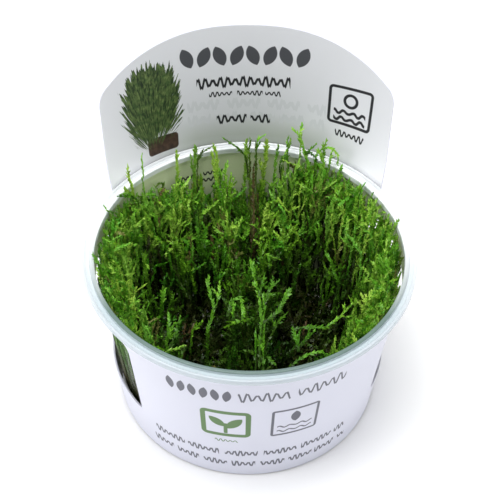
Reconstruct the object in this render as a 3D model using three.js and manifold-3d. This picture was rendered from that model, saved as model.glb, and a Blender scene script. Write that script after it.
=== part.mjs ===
// Aquarium moss grown in a clear round cup, with a printed card sleeve that rises in a tall back.
// Millimetres, +Z up, the cup's flat base on z = 0 and its axis on the Z axis.
// Azimuths are degrees round the cup seen from above, 0 at the front (-Y), 90 at the right (+X).
import * as THREE from 'three';
import { mergeVertices } from 'three/addons/utils/BufferGeometryUtils.js';
import Module from 'manifold-3d';

const wasm = await Module();
wasm.setup();

// Cup
const CUP_HEIGHT = 57;
const FLANGE_RADIUS = 50;
const BASE_RADIUS = 41;
const TOP_RADIUS = 46.8;
const WALL = 0.9;
const FLOOR = 1.2;
const FOOT_BEVEL = 1.5;
const FLOOR_BEVEL = 2;
const FLANGE_THICKNESS = 1;
const SKIRT_DEPTH = 2;
const SKIRT_WALL = 0.8;
const LIP_RISE = 0.3;
const LIP_OUTER_BEVEL = 0.2;
const LIP_INNER_BEVEL = 0.3;
const LEDGE_DROP = 8;
const LEDGE_STEP = 0.4;
const ROUND_SEGMENTS = 48;

// Card sleeve
const CARD = 0.5;
const GAP = 0.3;
const FLANGE_CLEARANCE = 0.45;
const SLEEVE_FOOT = 0.6;
const BAND_TOP = 16.5;
const WINDOW_TOP = 49;
const WINDOW_CORNER = 4;
const WINDOW_FOOT_CORNER = 1.2;
const CORNER_SEGMENTS = 4;
const PANEL_LEFT = -47;
const PANEL_RIGHT = 62.5;
const BACK_TURN = 2.5;
const BACK_HALF_ANGLE = 57.2;
const BACK_ROOT = 36;
const BACK_RISE = 42.6;
const BACK_SHOULDER_DROP = 17;
const BACK_ARCH_POWER = 2.5;
const BACK_CORNER = 2.4;
const BACK_HALF_WIDTH = 48;
const BACK_FLARE = 2.4;
const BACK_FLARE_HEIGHT = 25;
const BACK_LEAN = 5;
const BACK_TOP_BEND = 110;
const BACK_COLUMNS_PER_SIDE = 9;
const BACK_ROWS_ABOVE_RIM = 3;
// Above 1, the columns stand closer together towards the sides
const BACK_COLUMN_POWER = 1.6;

// Moss
const MAT_TOP = 14.5;
const MAT_SIDES = 24;
const MAT_INSET = 0.5;
const MAT_FOOT_BEVEL = 2.5;
const MAT_TOP_BEVEL = 2;
const CELL_GAP = 0.35;
const WALL_RING_INNER = 35;
const MIDDLE_RING_INNER = 22;
const INNER_RING_INNER = 6;
// Height of the tallest shoots above the cup's base, clump by clump from the front
const WALL_CREST = [51, 52, 54, 56, 57, 58, 60, 47, 50, 55, 56, 56, 55, 52];
const MIDDLE_CREST = [49, 38, 34, 40, 47, 45, 45, 41, 36];
const INNER_CREST = [47, 22, 37, 43, 24];

// Tussock of a clump: its height as a share of the clump's, its waist and shoulder as shares of its own
const TUSSOCK_SHARE = 0.66;
const TUSSOCK_WAIST = { low: 0.5, high: 0.66, inset: 0.05 };
const TUSSOCK_SHOULDER = { low: 0.84, high: 0.92, inset: 0.42 };
const TUSSOCK_LEAN = { low: 0.38, high: 0.62 };
const TUSSOCK_OUTER_STEPS = 3;
const TUSSOCK_INNER_STEPS = 2;
const RING_TUSSOCK_DEPTH = 0.5;
const WALL_TUSSOCK_DEPTH = 0.8;
const WALL_CROWN_DEPTH = 0.6;

// Shoots of a clump: where each tip stands as shares of the clump's width and depth
const SHOOT_SIDE = [-0.36, 0.36, 0, -0.2, 0.22];
const SHOOT_DEPTH = [0.3, 0.34, 0.72, 0.8, 0.62];
const SIDE_SCATTER = 0.12;
const DEPTH_SCATTER = 0.2;
const FEWEST_SHOOTS = 3;
const SHORTEST_SHOOT = 0.72;
const SHOOT_RADIUS = 2.1;
const THINNEST_SHOOT = 0.85;
const THICKEST_SHOOT = 1.1;
const SHOOT_SIDES = 4;
const SHOOT_FLATNESS = 0.75;
const SHOOT_TAPER = 0.5;
const SHOOT_TIP_MARGIN = 0.3;
const SHOOT_ROOT_RISE = 1.5;
const SHOOT_ROOT_SIDE = 0.75;
const SHOOT_ROOT_DEPTH = 0.8;
const SHOOT_MIDDLE = { along: 0.35, height: 0.6, width: 0.85 };
const SHOOT_BEND = { along: 0.7, height: 0.72, width: 0.65 };
const RIM_BEND_DROP = 2.5;
const RIM_NECK_RADIUS = 44.1;
const RIM_NECK_RISE = 1.2;
// Shoots that stand above the rim or hang over it: azimuth, radius and height above the rim of the tip
const RIM_SHOOTS = [
  [277, 47.8, 2.3],
  [236, 46, 9.5],
  [228, 46, 9.8],
  [212, 45.5, 5.2],
  [204, 45, 5.1],
  [196, 45, 4],
  [182, 44.5, 5.4],
  [174, 45, 5.1],
  [169, 44.7, 3.5],
  [164, 45.3, 6.9],
  [160, 46.5, 8.5],
  [152, 45.5, 5.2],
  [146, 46, 7.1],
  [141, 46, 2.5],
  [104, 46.8, 2.6],
];

const CARD_WHITE = 0xe4e6ea;
const CUP_CLEAR = 0xdfe6e6;
const MOSS_GREEN = 0x4f8a1c;
const MOSS_DARK = 0x1f330c;

const radians = THREE.MathUtils.degToRad;
const degrees = THREE.MathUtils.radToDeg;
const lerp = THREE.MathUtils.lerp;
const clamp = THREE.MathUtils.clamp;
const UP = new THREE.Vector3(0, 0, 1);

const rimInner = TOP_RADIUS - WALL;
const flangeUnder = CUP_HEIGHT - FLANGE_THICKNESS;
const skirtFoot = CUP_HEIGHT - SKIRT_DEPTH;
const ledgeTop = CUP_HEIGHT - LEDGE_DROP;

function cupOuter(z) {
  return lerp(BASE_RADIUS, TOP_RADIUS, clamp((z - FOOT_BEVEL) / (flangeUnder - FOOT_BEVEL), 0, 1));
}

function cupInner(z) {
  return cupOuter(z) - WALL - (z < ledgeTop ? LEDGE_STEP : 0);
}

// A point at an azimuth, a radius and a height
function polar(azimuth, radius, z) {
  const a = radians(azimuth);
  return new THREE.Vector3(radius * Math.sin(a), -radius * Math.cos(a), z);
}

// The same number between 0 and 1 for the same key, so that every build is alike
function scatter(key) {
  const wave = Math.sin(key * 12.9898) * 43758.5453;
  return wave - Math.floor(wave);
}

function toSolid(geometry) {
  const bare = geometry.clone();
  bare.deleteAttribute('normal');
  bare.deleteAttribute('uv');
  const merged = mergeVertices(bare, 1e-4);
  const mesh = new wasm.Mesh({
    numProp: 3,
    vertProperties: new Float32Array(merged.attributes.position.array),
    triVerts: new Uint32Array(merged.index.array),
  });
  mesh.merge();
  return new wasm.Manifold(mesh);
}

function fromSolid(solid) {
  const mesh = solid.getMesh();
  const geometry = new THREE.BufferGeometry();
  geometry.setAttribute('position', new THREE.BufferAttribute(new Float32Array(mesh.vertProperties), 3));
  geometry.setIndex(new THREE.BufferAttribute(new Uint32Array(mesh.triVerts), 1));
  return geometry;
}

function indexedGeometry(points, faces) {
  const geometry = new THREE.BufferGeometry();
  geometry.setAttribute('position', new THREE.Float32BufferAttribute(points.flatMap((p) => p.toArray()), 3));
  geometry.setIndex(faces);
  return geometry;
}

// Rings of equal point counts joined into a closed skin, with each end closed by a fan to its centre
function loft(rings, endPoint) {
  const sides = rings[0].length;
  const points = rings.flat();
  const faces = [];
  for (let k = 0; k + 1 < rings.length; k += 1) {
    for (let i = 0; i < sides; i += 1) {
      const a = k * sides + i;
      const b = k * sides + (i + 1) % sides;
      faces.push(a, b, b + sides, a, b + sides, a + sides);
    }
  }
  const foot = points.length;
  points.push(rings[0].reduce((sum, p) => sum.add(p), new THREE.Vector3()).divideScalar(sides));
  points.push(endPoint);
  const last = (rings.length - 1) * sides;
  for (let i = 0; i < sides; i += 1) {
    const next = (i + 1) % sides;
    faces.push(next, i, foot);
    faces.push(last + i, last + next, foot + 1);
  }
  return indexedGeometry(points, faces);
}

// A profile of radius and height pairs turned about the Z axis
function turned(profile) {
  const points = profile.map(([radius, z]) => new THREE.Vector2(radius, z));
  const geometry = new THREE.LatheGeometry(points, ROUND_SEGMENTS);
  geometry.rotateX(Math.PI / 2);
  return geometry;
}

// Cup: flat floor, tapered thin wall with a stacking ledge, flange with a turned-down skirt
function cupSolid() {
  const skirtInner = FLANGE_RADIUS - SKIRT_WALL;
  return toSolid(turned([
    [0, 0],
    [BASE_RADIUS - FOOT_BEVEL, 0],
    [BASE_RADIUS, FOOT_BEVEL],
    [TOP_RADIUS, flangeUnder],
    [skirtInner, flangeUnder],
    [skirtInner, skirtFoot],
    [FLANGE_RADIUS, skirtFoot],
    [FLANGE_RADIUS, CUP_HEIGHT],
    [TOP_RADIUS + LIP_OUTER_BEVEL, CUP_HEIGHT],
    [TOP_RADIUS - LIP_OUTER_BEVEL, CUP_HEIGHT + LIP_RISE],
    [rimInner + LIP_INNER_BEVEL, CUP_HEIGHT + LIP_RISE],
    [rimInner, CUP_HEIGHT],
    [cupOuter(ledgeTop) - WALL, ledgeTop],
    [cupInner(ledgeTop - LEDGE_STEP), ledgeTop - LEDGE_STEP],
    [cupInner(FLOOR + FLOOR_BEVEL), FLOOR + FLOOR_BEVEL],
    [cupInner(FLOOR) - FLOOR_BEVEL, FLOOR],
    [0, FLOOR],
  ]));
}

// A cutter for one side opening of the sleeve, its upright edges along the cup's taper
function windowCutter(fromAzimuth, toAzimuth) {
  const middle = (fromAzimuth + toAzimuth) / 2;
  const spread = Math.sin(radians((toAzimuth - fromAzimuth) / 2));
  const foot = (cupOuter(BAND_TOP) + GAP) * spread;
  const head = (cupOuter(WINDOW_TOP) + GAP) * spread;
  const outline = new THREE.Shape();
  outline.moveTo(-foot + WINDOW_FOOT_CORNER, BAND_TOP);
  outline.lineTo(foot - WINDOW_FOOT_CORNER, BAND_TOP);
  outline.quadraticCurveTo(foot, BAND_TOP, foot, BAND_TOP + WINDOW_FOOT_CORNER);
  outline.lineTo(head, WINDOW_TOP - WINDOW_CORNER);
  outline.quadraticCurveTo(head, WINDOW_TOP, head - WINDOW_CORNER, WINDOW_TOP);
  outline.lineTo(-head + WINDOW_CORNER, WINDOW_TOP);
  outline.quadraticCurveTo(-head, WINDOW_TOP, -head, WINDOW_TOP - WINDOW_CORNER);
  outline.lineTo(-foot, BAND_TOP + WINDOW_FOOT_CORNER);
  outline.quadraticCurveTo(-foot, BAND_TOP, -foot + WINDOW_FOOT_CORNER, BAND_TOP);
  const cutter = new THREE.ExtrudeGeometry(outline, {
    depth: FLANGE_RADIUS,
    bevelEnabled: false,
    curveSegments: CORNER_SEGMENTS,
  });
  const across = new THREE.Vector3(Math.cos(radians(middle)), Math.sin(radians(middle)), 0);
  cutter.applyMatrix4(new THREE.Matrix4().makeBasis(across, UP, polar(middle, 1, 0)));
  return toSolid(cutter);
}

// Inner face of the tall back at a height: the bend's radius and how far behind the axis its middle is.
// At its root it starts halfway through the band's card, so that the two join in one solid.
function backBend(z) {
  const rootRadius = cupOuter(BACK_ROOT) + GAP + CARD / 2;
  const clearRadius = FLANGE_RADIUS + FLANGE_CLEARANCE;
  const clearHeight = skirtFoot - GAP;
  const rise = Math.max(z - CUP_HEIGHT, 0);
  const lower = lerp(rootRadius, clearRadius, clamp((z - BACK_ROOT) / (clearHeight - BACK_ROOT), 0, 1));
  const radius = lerp(lower, BACK_TOP_BEND, rise / BACK_RISE);
  return { radius, middle: lower + rise * Math.tan(radians(BACK_LEAN)) };
}

function backPoint(across, z, offset) {
  const bend = backBend(z);
  const rise = clamp((z - CUP_HEIGHT) / BACK_FLARE_HEIGHT, 0, 1);
  const upperHalf = BACK_HALF_WIDTH + BACK_FLARE * (1 - rise) ** 2;
  const lowerHalf = radians(BACK_HALF_ANGLE) * bend.radius;
  const half = z < CUP_HEIGHT ? lowerHalf : upperHalf;
  const angle = across * half / bend.radius;
  const radius = bend.radius + offset;
  const x = radius * Math.sin(angle);
  const y = bend.middle - bend.radius + radius * Math.cos(angle);
  return new THREE.Vector3(x, y, z).applyAxisAngle(UP, radians(BACK_TURN));
}

// Height of the arched top edge, with its two rounded corners
function backTop(across) {
  const fromSide = BACK_HALF_WIDTH * (1 - Math.abs(across));
  const inCorner = Math.max(BACK_CORNER - fromSide, 0);
  const corner = BACK_CORNER - Math.sqrt(BACK_CORNER ** 2 - inCorner ** 2);
  return CUP_HEIGHT + BACK_RISE - BACK_SHOULDER_DROP * Math.abs(across) ** BACK_ARCH_POWER - corner;
}

// Tall back: one bent sheet of card, glued outside the sleeve at its foot and free above the flange
function tallBackSolid() {
  const columns = [];
  for (let k = -BACK_COLUMNS_PER_SIDE; k <= BACK_COLUMNS_PER_SIDE; k += 1) {
    const fromEdge = 1 - Math.abs(k) / BACK_COLUMNS_PER_SIDE;
    columns.push(Math.sign(k) * (1 - fromEdge ** BACK_COLUMN_POWER));
  }
  const rows = [BACK_ROOT, skirtFoot - GAP, CUP_HEIGHT];
  const rowCount = rows.length + BACK_ROWS_ABOVE_RIM;
  const sheet = (offset) => columns.map((across) => {
    const heights = [...rows];
    for (let k = 1; k <= BACK_ROWS_ABOVE_RIM; k += 1) {
      heights.push(lerp(CUP_HEIGHT, backTop(across), k / BACK_ROWS_ABOVE_RIM));
    }
    return heights.map((z) => backPoint(across, z, offset));
  });
  const points = [...sheet(0).flat(), ...sheet(CARD).flat()];
  const outside = columns.length * rowCount;
  const at = (column, row) => column * rowCount + row;
  const faces = [];
  const quad = (a, b, c, d) => faces.push(a, b, c, a, c, d);
  const top = rowCount - 1;
  for (let i = 0; i + 1 < columns.length; i += 1) {
    for (let j = 0; j < top; j += 1) {
      quad(at(i, j), at(i + 1, j), at(i + 1, j + 1), at(i, j + 1));
      quad(outside + at(i, j), outside + at(i, j + 1), outside + at(i + 1, j + 1), outside + at(i + 1, j));
    }
    quad(at(i, 0), outside + at(i, 0), outside + at(i + 1, 0), at(i + 1, 0));
    quad(at(i, top), at(i + 1, top), outside + at(i + 1, top), outside + at(i, top));
  }
  const side = columns.length - 1;
  for (let j = 0; j < top; j += 1) {
    quad(at(0, j), at(0, j + 1), outside + at(0, j + 1), outside + at(0, j));
    quad(at(side, j), outside + at(side, j), outside + at(side, j + 1), at(side, j + 1));
  }
  return toSolid(indexedGeometry(points, faces));
}

// Sleeve: a tapered band round the cup with two side openings, and the tall back joined to it
function sleeveSolid() {
  const top = flangeUnder - GAP;
  const band = toSolid(turned([
    [cupOuter(SLEEVE_FOOT) + GAP, SLEEVE_FOOT],
    [cupOuter(SLEEVE_FOOT) + GAP + CARD, SLEEVE_FOOT],
    [cupOuter(FOOT_BEVEL) + GAP + CARD, FOOT_BEVEL],
    [cupOuter(top) + GAP + CARD, top],
    [cupOuter(top) + GAP, top],
    [cupOuter(FOOT_BEVEL) + GAP, FOOT_BEVEL],
    [cupOuter(SLEEVE_FOOT) + GAP, SLEEVE_FOOT],
  ]));
  const backMiddle = 180 + BACK_TURN;
  const rightWindow = windowCutter(PANEL_RIGHT, backMiddle - BACK_HALF_ANGLE);
  const leftWindow = windowCutter(backMiddle + BACK_HALF_ANGLE, 360 + PANEL_LEFT);
  return band.subtract(rightWindow).subtract(leftWindow).add(tallBackSolid());
}

// Mat: the dense tangle of old stems on the cup's floor
function matSolid() {
  const lowSide = FLOOR + MAT_FOOT_BEVEL;
  const highSide = MAT_TOP - MAT_TOP_BEVEL;
  const levels = [
    [FLOOR + GAP, cupInner(FLOOR) - MAT_FOOT_BEVEL - MAT_INSET],
    [lowSide, cupInner(lowSide) - MAT_INSET],
    [highSide, cupInner(highSide) - MAT_INSET],
    [MAT_TOP, cupInner(MAT_TOP) - MAT_FOOT_BEVEL - MAT_INSET],
  ];
  const rings = levels.map(([z, radius]) => {
    const ring = [];
    for (let i = 0; i < MAT_SIDES; i += 1) {
      ring.push(polar(i * 360 / MAT_SIDES, radius, z));
    }
    return ring;
  });
  return toSolid(loft(rings, new THREE.Vector3(0, 0, MAT_TOP)));
}

// One shoot: a bent, tapering stem that ends in a point
function shootSolid(path, tip, thickness) {
  const rings = path.map((centre, k) => {
    const radius = thickness * lerp(1, SHOOT_TAPER, k / (path.length - 1));
    const outward = new THREE.Vector3(centre.x, centre.y, 0).normalize();
    const sideways = new THREE.Vector3(-outward.y, outward.x, 0);
    const ring = [];
    for (let i = 0; i < SHOOT_SIDES; i += 1) {
      const turn = 2 * Math.PI * i / SHOOT_SIDES;
      const corner = centre.clone().addScaledVector(sideways, radius * Math.sin(turn));
      ring.push(corner.addScaledVector(outward, radius * SHOOT_FLATNESS * Math.cos(turn)));
    }
    return ring;
  });
  return toSolid(loft(rings, tip));
}

// Azimuth kept inside a clump's own sector, far enough from its sides for a shoot of this thickness
function insideSector(cell, azimuth, radius, thickness) {
  const margin = degrees((thickness + CELL_GAP) / radius);
  return clamp(azimuth, cell.from + margin, cell.to - margin);
}

function insideRing(cell, radius, z, thickness) {
  const outer = cell.outer ? cell.outer : cupInner(Math.min(z, CUP_HEIGHT)) - CELL_GAP;
  return clamp(radius, cell.inner + CELL_GAP + thickness, outer - CELL_GAP - thickness);
}

// Tussock that the shoots of a clump grow out of, filling its sector and drawn in towards its crown
function tussockSolid(cell, height, key) {
  const foot = MAT_TOP + GAP;
  const waist = MAT_TOP + height * lerp(TUSSOCK_WAIST.low, TUSSOCK_WAIST.high, scatter(key));
  const shoulder = MAT_TOP + height * lerp(TUSSOCK_SHOULDER.low, TUSSOCK_SHOULDER.high, scatter(key + 1));
  const lean = lerp(TUSSOCK_LEAN.low, TUSSOCK_LEAN.high, scatter(key + 2));
  const middleAzimuth = lerp(cell.from, cell.to, lean);
  const outer = (cell.outer ? cell.outer : cupInner(foot)) - CELL_GAP;
  const inner = cell.inner + CELL_GAP;
  const middleRadius = lerp(inner, outer, cell.outer ? RING_TUSSOCK_DEPTH : WALL_TUSSOCK_DEPTH);
  const levels = [
    { z: foot, inset: 0 },
    { z: waist, inset: TUSSOCK_WAIST.inset },
    { z: shoulder, inset: TUSSOCK_SHOULDER.inset },
  ];
  const rings = levels.map(({ z, inset }) => {
    const place = (share, radius) => {
      const edge = insideSector(cell, lerp(cell.from, cell.to, share), radius, 0);
      return polar(lerp(edge, middleAzimuth, inset), lerp(radius, middleRadius, inset), z);
    };
    const ring = [];
    for (let i = 0; i <= TUSSOCK_OUTER_STEPS; i += 1) {
      ring.push(place(i / TUSSOCK_OUTER_STEPS, outer));
    }
    for (let i = TUSSOCK_INNER_STEPS; i >= 0; i -= 1) {
      ring.push(place(i / TUSSOCK_INNER_STEPS, inner));
    }
    return ring;
  });
  const crownRadius = cell.outer
    ? lerp(cell.inner, cell.outer, RING_TUSSOCK_DEPTH)
    : lerp(cell.inner, BASE_RADIUS, WALL_CROWN_DEPTH);
  return toSolid(loft(rings, polar(middleAzimuth, crownRadius, MAT_TOP + height)));
}

// One shoot of a clump; rim is the place of its tip where it stands above the cup's rim
function clumpShoot(cell, crest, seed, k, rim) {
  const rise = crest - MAT_TOP;
  const outerRadius = cell.outer ? cell.outer : rimInner;
  const thickness = SHOOT_RADIUS * lerp(THINNEST_SHOOT, THICKEST_SHOOT, scatter(seed));
  const side = 0.5 + SHOOT_SIDE[k] + SIDE_SCATTER * (scatter(seed + 1) - 0.5);
  const depth = SHOOT_DEPTH[k] + DEPTH_SCATTER * (scatter(seed + 2) - 0.5);
  const height = MAT_TOP + rise * lerp(SHORTEST_SHOOT, 1, scatter(seed + 5));
  const [tipAzimuth, tipRadius, tipHeight] = rim
    ? [rim[0], rim[1], CUP_HEIGHT + rim[2]]
    : [lerp(cell.from, cell.to, side), lerp(cell.inner, outerRadius, depth), height];
  const bendHeight = rim ? CUP_HEIGHT - RIM_BEND_DROP : lerp(MAT_TOP, tipHeight, SHOOT_BEND.height);
  const middleAzimuth = (cell.from + cell.to) / 2;
  const middleRadius = (cell.inner + outerRadius) / 2;
  const rootAzimuth = lerp(middleAzimuth, tipAzimuth, SHOOT_ROOT_SIDE);
  const rootRadius = lerp(middleRadius, Math.min(tipRadius, outerRadius), SHOOT_ROOT_DEPTH);
  const stem = (along, z, width) => {
    const radius = insideRing(cell, lerp(rootRadius, tipRadius, along), z, width);
    return polar(insideSector(cell, lerp(rootAzimuth, tipAzimuth, along), radius, width), radius, z);
  };
  const middleHeight = lerp(MAT_TOP, bendHeight, SHOOT_MIDDLE.height);
  const path = [
    stem(0, MAT_TOP + SHOOT_ROOT_RISE, thickness),
    stem(SHOOT_MIDDLE.along, middleHeight, thickness * SHOOT_MIDDLE.width),
    stem(SHOOT_BEND.along, bendHeight, thickness * SHOOT_BEND.width),
  ];
  if (!rim) {
    return shootSolid(path, stem(1, tipHeight, SHOOT_TIP_MARGIN), thickness);
  }
  const neckAzimuth = insideSector(cell, tipAzimuth, RIM_NECK_RADIUS, thickness * SHOOT_TAPER);
  path.push(polar(neckAzimuth, RIM_NECK_RADIUS, CUP_HEIGHT + RIM_NECK_RISE));
  return shootSolid(path, polar(tipAzimuth, tipRadius, tipHeight), thickness);
}

// Clump: a tussock and its shoots joined in one solid
function clumpSolid(cell, crest, key) {
  const rise = crest - MAT_TOP;
  const rimShoots = RIM_SHOOTS.filter(([azimuth]) => !cell.outer && azimuth > cell.from && azimuth < cell.to);
  const fullness = clamp(rise / (CUP_HEIGHT - MAT_TOP), 0, 1);
  const shoots = Math.round(lerp(FEWEST_SHOOTS, SHOOT_SIDE.length, fullness));
  let clump = tussockSolid(cell, TUSSOCK_SHARE * rise, key);
  for (let k = 0; k < shoots; k += 1) {
    clump = clump.add(clumpShoot(cell, crest, key * 11 + k * 3, k, rimShoots[k]));
  }
  return clump;
}

function ringCells(count, inner, outer) {
  const half = 180 / count;
  const cells = [];
  for (let k = 0; k < count; k += 1) {
    const middle = k * 360 / count;
    cells.push({ from: middle - half, to: middle + half, inner, outer });
  }
  return cells;
}

const clearPlastic = new THREE.MeshStandardMaterial({
  color: CUP_CLEAR,
  roughness: 0.12,
  metalness: 0,
  transparent: true,
  opacity: 0.35,
});
const whiteCard = new THREE.MeshStandardMaterial({ color: CARD_WHITE, roughness: 0.55, metalness: 0 });
const mossGreen = new THREE.MeshStandardMaterial({ color: MOSS_GREEN, roughness: 0.45, metalness: 0 });
const mossDark = new THREE.MeshStandardMaterial({ color: MOSS_DARK, roughness: 0.8, metalness: 0 });

const group = new THREE.Group();

function addPiece(name, solid, material) {
  const mesh = new THREE.Mesh(fromSolid(solid), material);
  mesh.name = name;
  group.add(mesh);
}

addPiece('cup', cupSolid(), clearPlastic.clone());
addPiece('card_sleeve', sleeveSolid(), whiteCard.clone());
addPiece('moss_mat', matSolid(), mossDark.clone());

// An outer radius of 0 stands for the cup's wall, which the outermost ring follows
const mossRings = [
  { name: 'moss_wall_clump', crests: WALL_CREST, inner: WALL_RING_INNER, outer: 0 },
  { name: 'moss_middle_clump', crests: MIDDLE_CREST, inner: MIDDLE_RING_INNER, outer: WALL_RING_INNER },
  { name: 'moss_inner_clump', crests: INNER_CREST, inner: INNER_RING_INNER, outer: MIDDLE_RING_INNER },
];
mossRings.forEach((ring, ringNumber) => {
  ringCells(ring.crests.length, ring.inner, ring.outer).forEach((cell, k) => {
    const name = `${ring.name}_${String(k + 1).padStart(2, '0')}`;
    addPiece(name, clumpSolid(cell, ring.crests[k], 100 * (ringNumber + 1) + k), mossGreen.clone());
  });
});

export default group;
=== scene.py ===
# A clump of aquarium moss in a clear round cup, with a printed card sleeve that rises in a tall back.
# Metres, +Z up, the cup's flat base on z = 0 and its axis on the Z axis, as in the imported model.
# Azimuths are degrees round the cup seen from above, 0 at the front (-Y), 90 at the right (+X).
import math
import random

import bpy
from mathutils import Matrix, Vector


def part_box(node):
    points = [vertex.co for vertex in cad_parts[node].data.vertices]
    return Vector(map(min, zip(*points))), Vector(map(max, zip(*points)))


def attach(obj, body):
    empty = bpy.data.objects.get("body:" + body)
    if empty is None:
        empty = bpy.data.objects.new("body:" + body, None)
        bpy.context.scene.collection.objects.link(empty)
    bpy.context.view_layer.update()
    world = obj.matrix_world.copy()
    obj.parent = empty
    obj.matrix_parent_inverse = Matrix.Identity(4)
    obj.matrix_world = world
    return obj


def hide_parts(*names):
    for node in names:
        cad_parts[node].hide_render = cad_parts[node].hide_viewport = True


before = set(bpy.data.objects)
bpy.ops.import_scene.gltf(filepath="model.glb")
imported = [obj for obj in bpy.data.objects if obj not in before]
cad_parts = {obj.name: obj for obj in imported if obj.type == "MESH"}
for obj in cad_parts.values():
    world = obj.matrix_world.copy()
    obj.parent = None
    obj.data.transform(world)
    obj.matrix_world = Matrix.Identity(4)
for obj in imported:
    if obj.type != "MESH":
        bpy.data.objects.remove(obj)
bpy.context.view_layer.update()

MM = 0.001
BODY = "root"

# Cup, in millimetres
CUP_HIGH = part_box("cup")[1]
LIP_RISE = 0.3
CUP_HEIGHT = CUP_HIGH.z / MM - LIP_RISE
FLANGE_RADIUS = CUP_HIGH.x / MM
FLANGE_THICKNESS = 1
BASE_RADIUS = 41
TOP_RADIUS = 46.8
WALL = 0.5
SOLID_WALL = 0.9
FLOOR = 1.2
SKIRT_DEPTH = 2
SKIRT_WALL = 0.8
LEDGE_DROP = 8
LEDGE_STEP = 0.2
FOOT_ROUND = 1.5
CUP_SEGMENTS = 192

# Card sleeve, in millimetres
CARD = 0.5
GAP = 0.3
SLEEVE_FOOT = 0.6
BAND_TOP = 16.5
WINDOW_TOP = 49
WINDOW_CORNER = 4
WINDOW_FOOT_CORNER = 1.2
PANEL_LEFT = -47
PANEL_RIGHT = 62.5
BACK_TURN = 2.5
BACK_HALF_ANGLE = 57.2
BACK_ROOT = 36
BACK_RISE = 42.6
BACK_SHOULDER_DROP = 17
BACK_ARCH_POWER = 2.5
BACK_CORNER = 2.4
BACK_HALF_WIDTH = 48
BACK_FLARE = 2.4
BACK_FLARE_HEIGHT = 25
BACK_LEAN = 5
BACK_TOP_BEND = 110

# Moss, in millimetres
MAT_TOP = 14.5
WALL_RING_INNER = 35
MIDDLE_RING_INNER = 22
INNER_RING_INNER = 6
# Height of the tallest shoots above the cup's base, clump by clump from the front
WALL_CREST = [51, 52, 54, 56, 57, 58, 60, 47, 50, 55, 56, 56, 55, 52]
MIDDLE_CREST = [49, 38, 34, 40, 47, 45, 45, 41, 36]
INNER_CREST = [47, 22, 37, 43, 24]
CRESTS = (WALL_CREST, MIDDLE_CREST, INNER_CREST)
# Shoots that stand above the rim or hang over it: azimuth, radius and height above the rim of the tip
RIM_SHOOTS = [
    (277, 47.8, 2.3), (236, 46, 9.5), (228, 46, 9.8), (212, 45.5, 5.2), (204, 45, 5.1), (196, 45, 4),
    (182, 44.5, 5.4), (174, 45, 5.1), (169, 44.7, 3.5), (164, 45.3, 6.9), (160, 46.5, 8.5),
    (152, 45.5, 5.2), (146, 46, 7.1), (141, 46, 2.5), (104, 46.8, 2.6),
]
BARE_TIP_RADIUS = 46.5

FLANGE_UNDER = CUP_HEIGHT - FLANGE_THICKNESS
RIM_INNER = TOP_RADIUS - WALL
LIP_OUTER = 47.6
LIP_DEPTH = 1.7
# A fine groove halfway along the flange
GROOVE_DEPTH = 0.12
GROOVE_OUTER = 49
GROOVE_INNER = 48.9


def lerp(a, b, share):
    return a + (b - a) * share


def clamp(value, low=0.0, high=1.0):
    return max(low, min(high, value))


def smooth(share):
    """0 to 1 with a soft start and a soft end."""
    share = clamp(share)
    return share * share * (3 - 2 * share)


def polar(azimuth, radius, z):
    """A point at an azimuth, a radius and a height."""
    a = math.radians(azimuth)
    return Vector((radius * math.sin(a), -radius * math.cos(a), z))


def cup_outer(z):
    return lerp(BASE_RADIUS, TOP_RADIUS, clamp((z - FOOT_ROUND) / (FLANGE_UNDER - FOOT_ROUND)))


def cup_inner(z):
    ledge = LEDGE_STEP if z < CUP_HEIGHT - LEDGE_DROP else 0
    return cup_outer(z) - WALL - ledge


def mesh_object(name, points, faces):
    """A mesh object from points in millimetres."""
    mesh = bpy.data.meshes.new(name)
    mesh.from_pydata([Vector(p) * MM for p in points], [], faces)
    mesh.update()
    item = bpy.data.objects.new(name, mesh)
    bpy.context.scene.collection.objects.link(item)
    return item


# Node trees


def feed(tree, socket, value):
    """Joins a socket to another, or gives it a plain value."""
    if isinstance(value, Term):
        value = value.socket
    if isinstance(value, bpy.types.NodeSocket):
        tree.links.new(value, socket)
    else:
        socket.default_value = value


def add_node(tree, kind, settings=None, inputs=None):
    """A new node with its settings made and its inputs fed, by name or by number."""
    node = tree.nodes.new(kind)
    for name, value in (settings or {}).items():
        setattr(node, name, value)
    for key, value in (inputs or {}).items():
        feed(tree, node.inputs[key], value)
    return node


class Term:
    """A number that a node tree works out, so that a formula is written with +, -, * and /."""

    def __init__(self, tree, socket):
        self.tree = tree
        self.socket = socket

    def math(self, operation, *others, first=None):
        """A sum with this term, or with another value before it."""
        node = self.tree.nodes.new("ShaderNodeMath")
        node.operation = operation
        values = (self, *others) if first is None else (first, self)
        for socket, value in zip(node.inputs, values):
            feed(self.tree, socket, value)
        return Term(self.tree, node.outputs[0])

    def clamped(self):
        """The term kept between 0 and 1."""
        kept = self.math("ADD", 0.0)
        kept.socket.node.use_clamp = True
        return kept

    def __add__(self, other):
        return self.math("ADD", other)

    def __sub__(self, other):
        return self.math("SUBTRACT", other)

    def __rsub__(self, other):
        return self.math("SUBTRACT", first=other)

    def __mul__(self, other):
        return self.math("MULTIPLY", other)

    def __truediv__(self, other):
        return self.math("DIVIDE", other)

    def __abs__(self):
        return self.math("ABSOLUTE")

    __radd__ = __add__
    __rmul__ = __mul__


def length_of(a, b):
    return (a * a + b * b).math("SQRT")


def larger(a, b):
    return a.math("MAXIMUM", b)


def between(value, low, high):
    """1 where a value lies between two others, and 0 elsewhere."""
    return value.math("GREATER_THAN", low) * value.math("LESS_THAN", high)


def combined(tree, x, y, z=0.0):
    return add_node(tree, "ShaderNodeCombineXYZ", inputs={0: x, 1: y, 2: z}).outputs[0]


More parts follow.
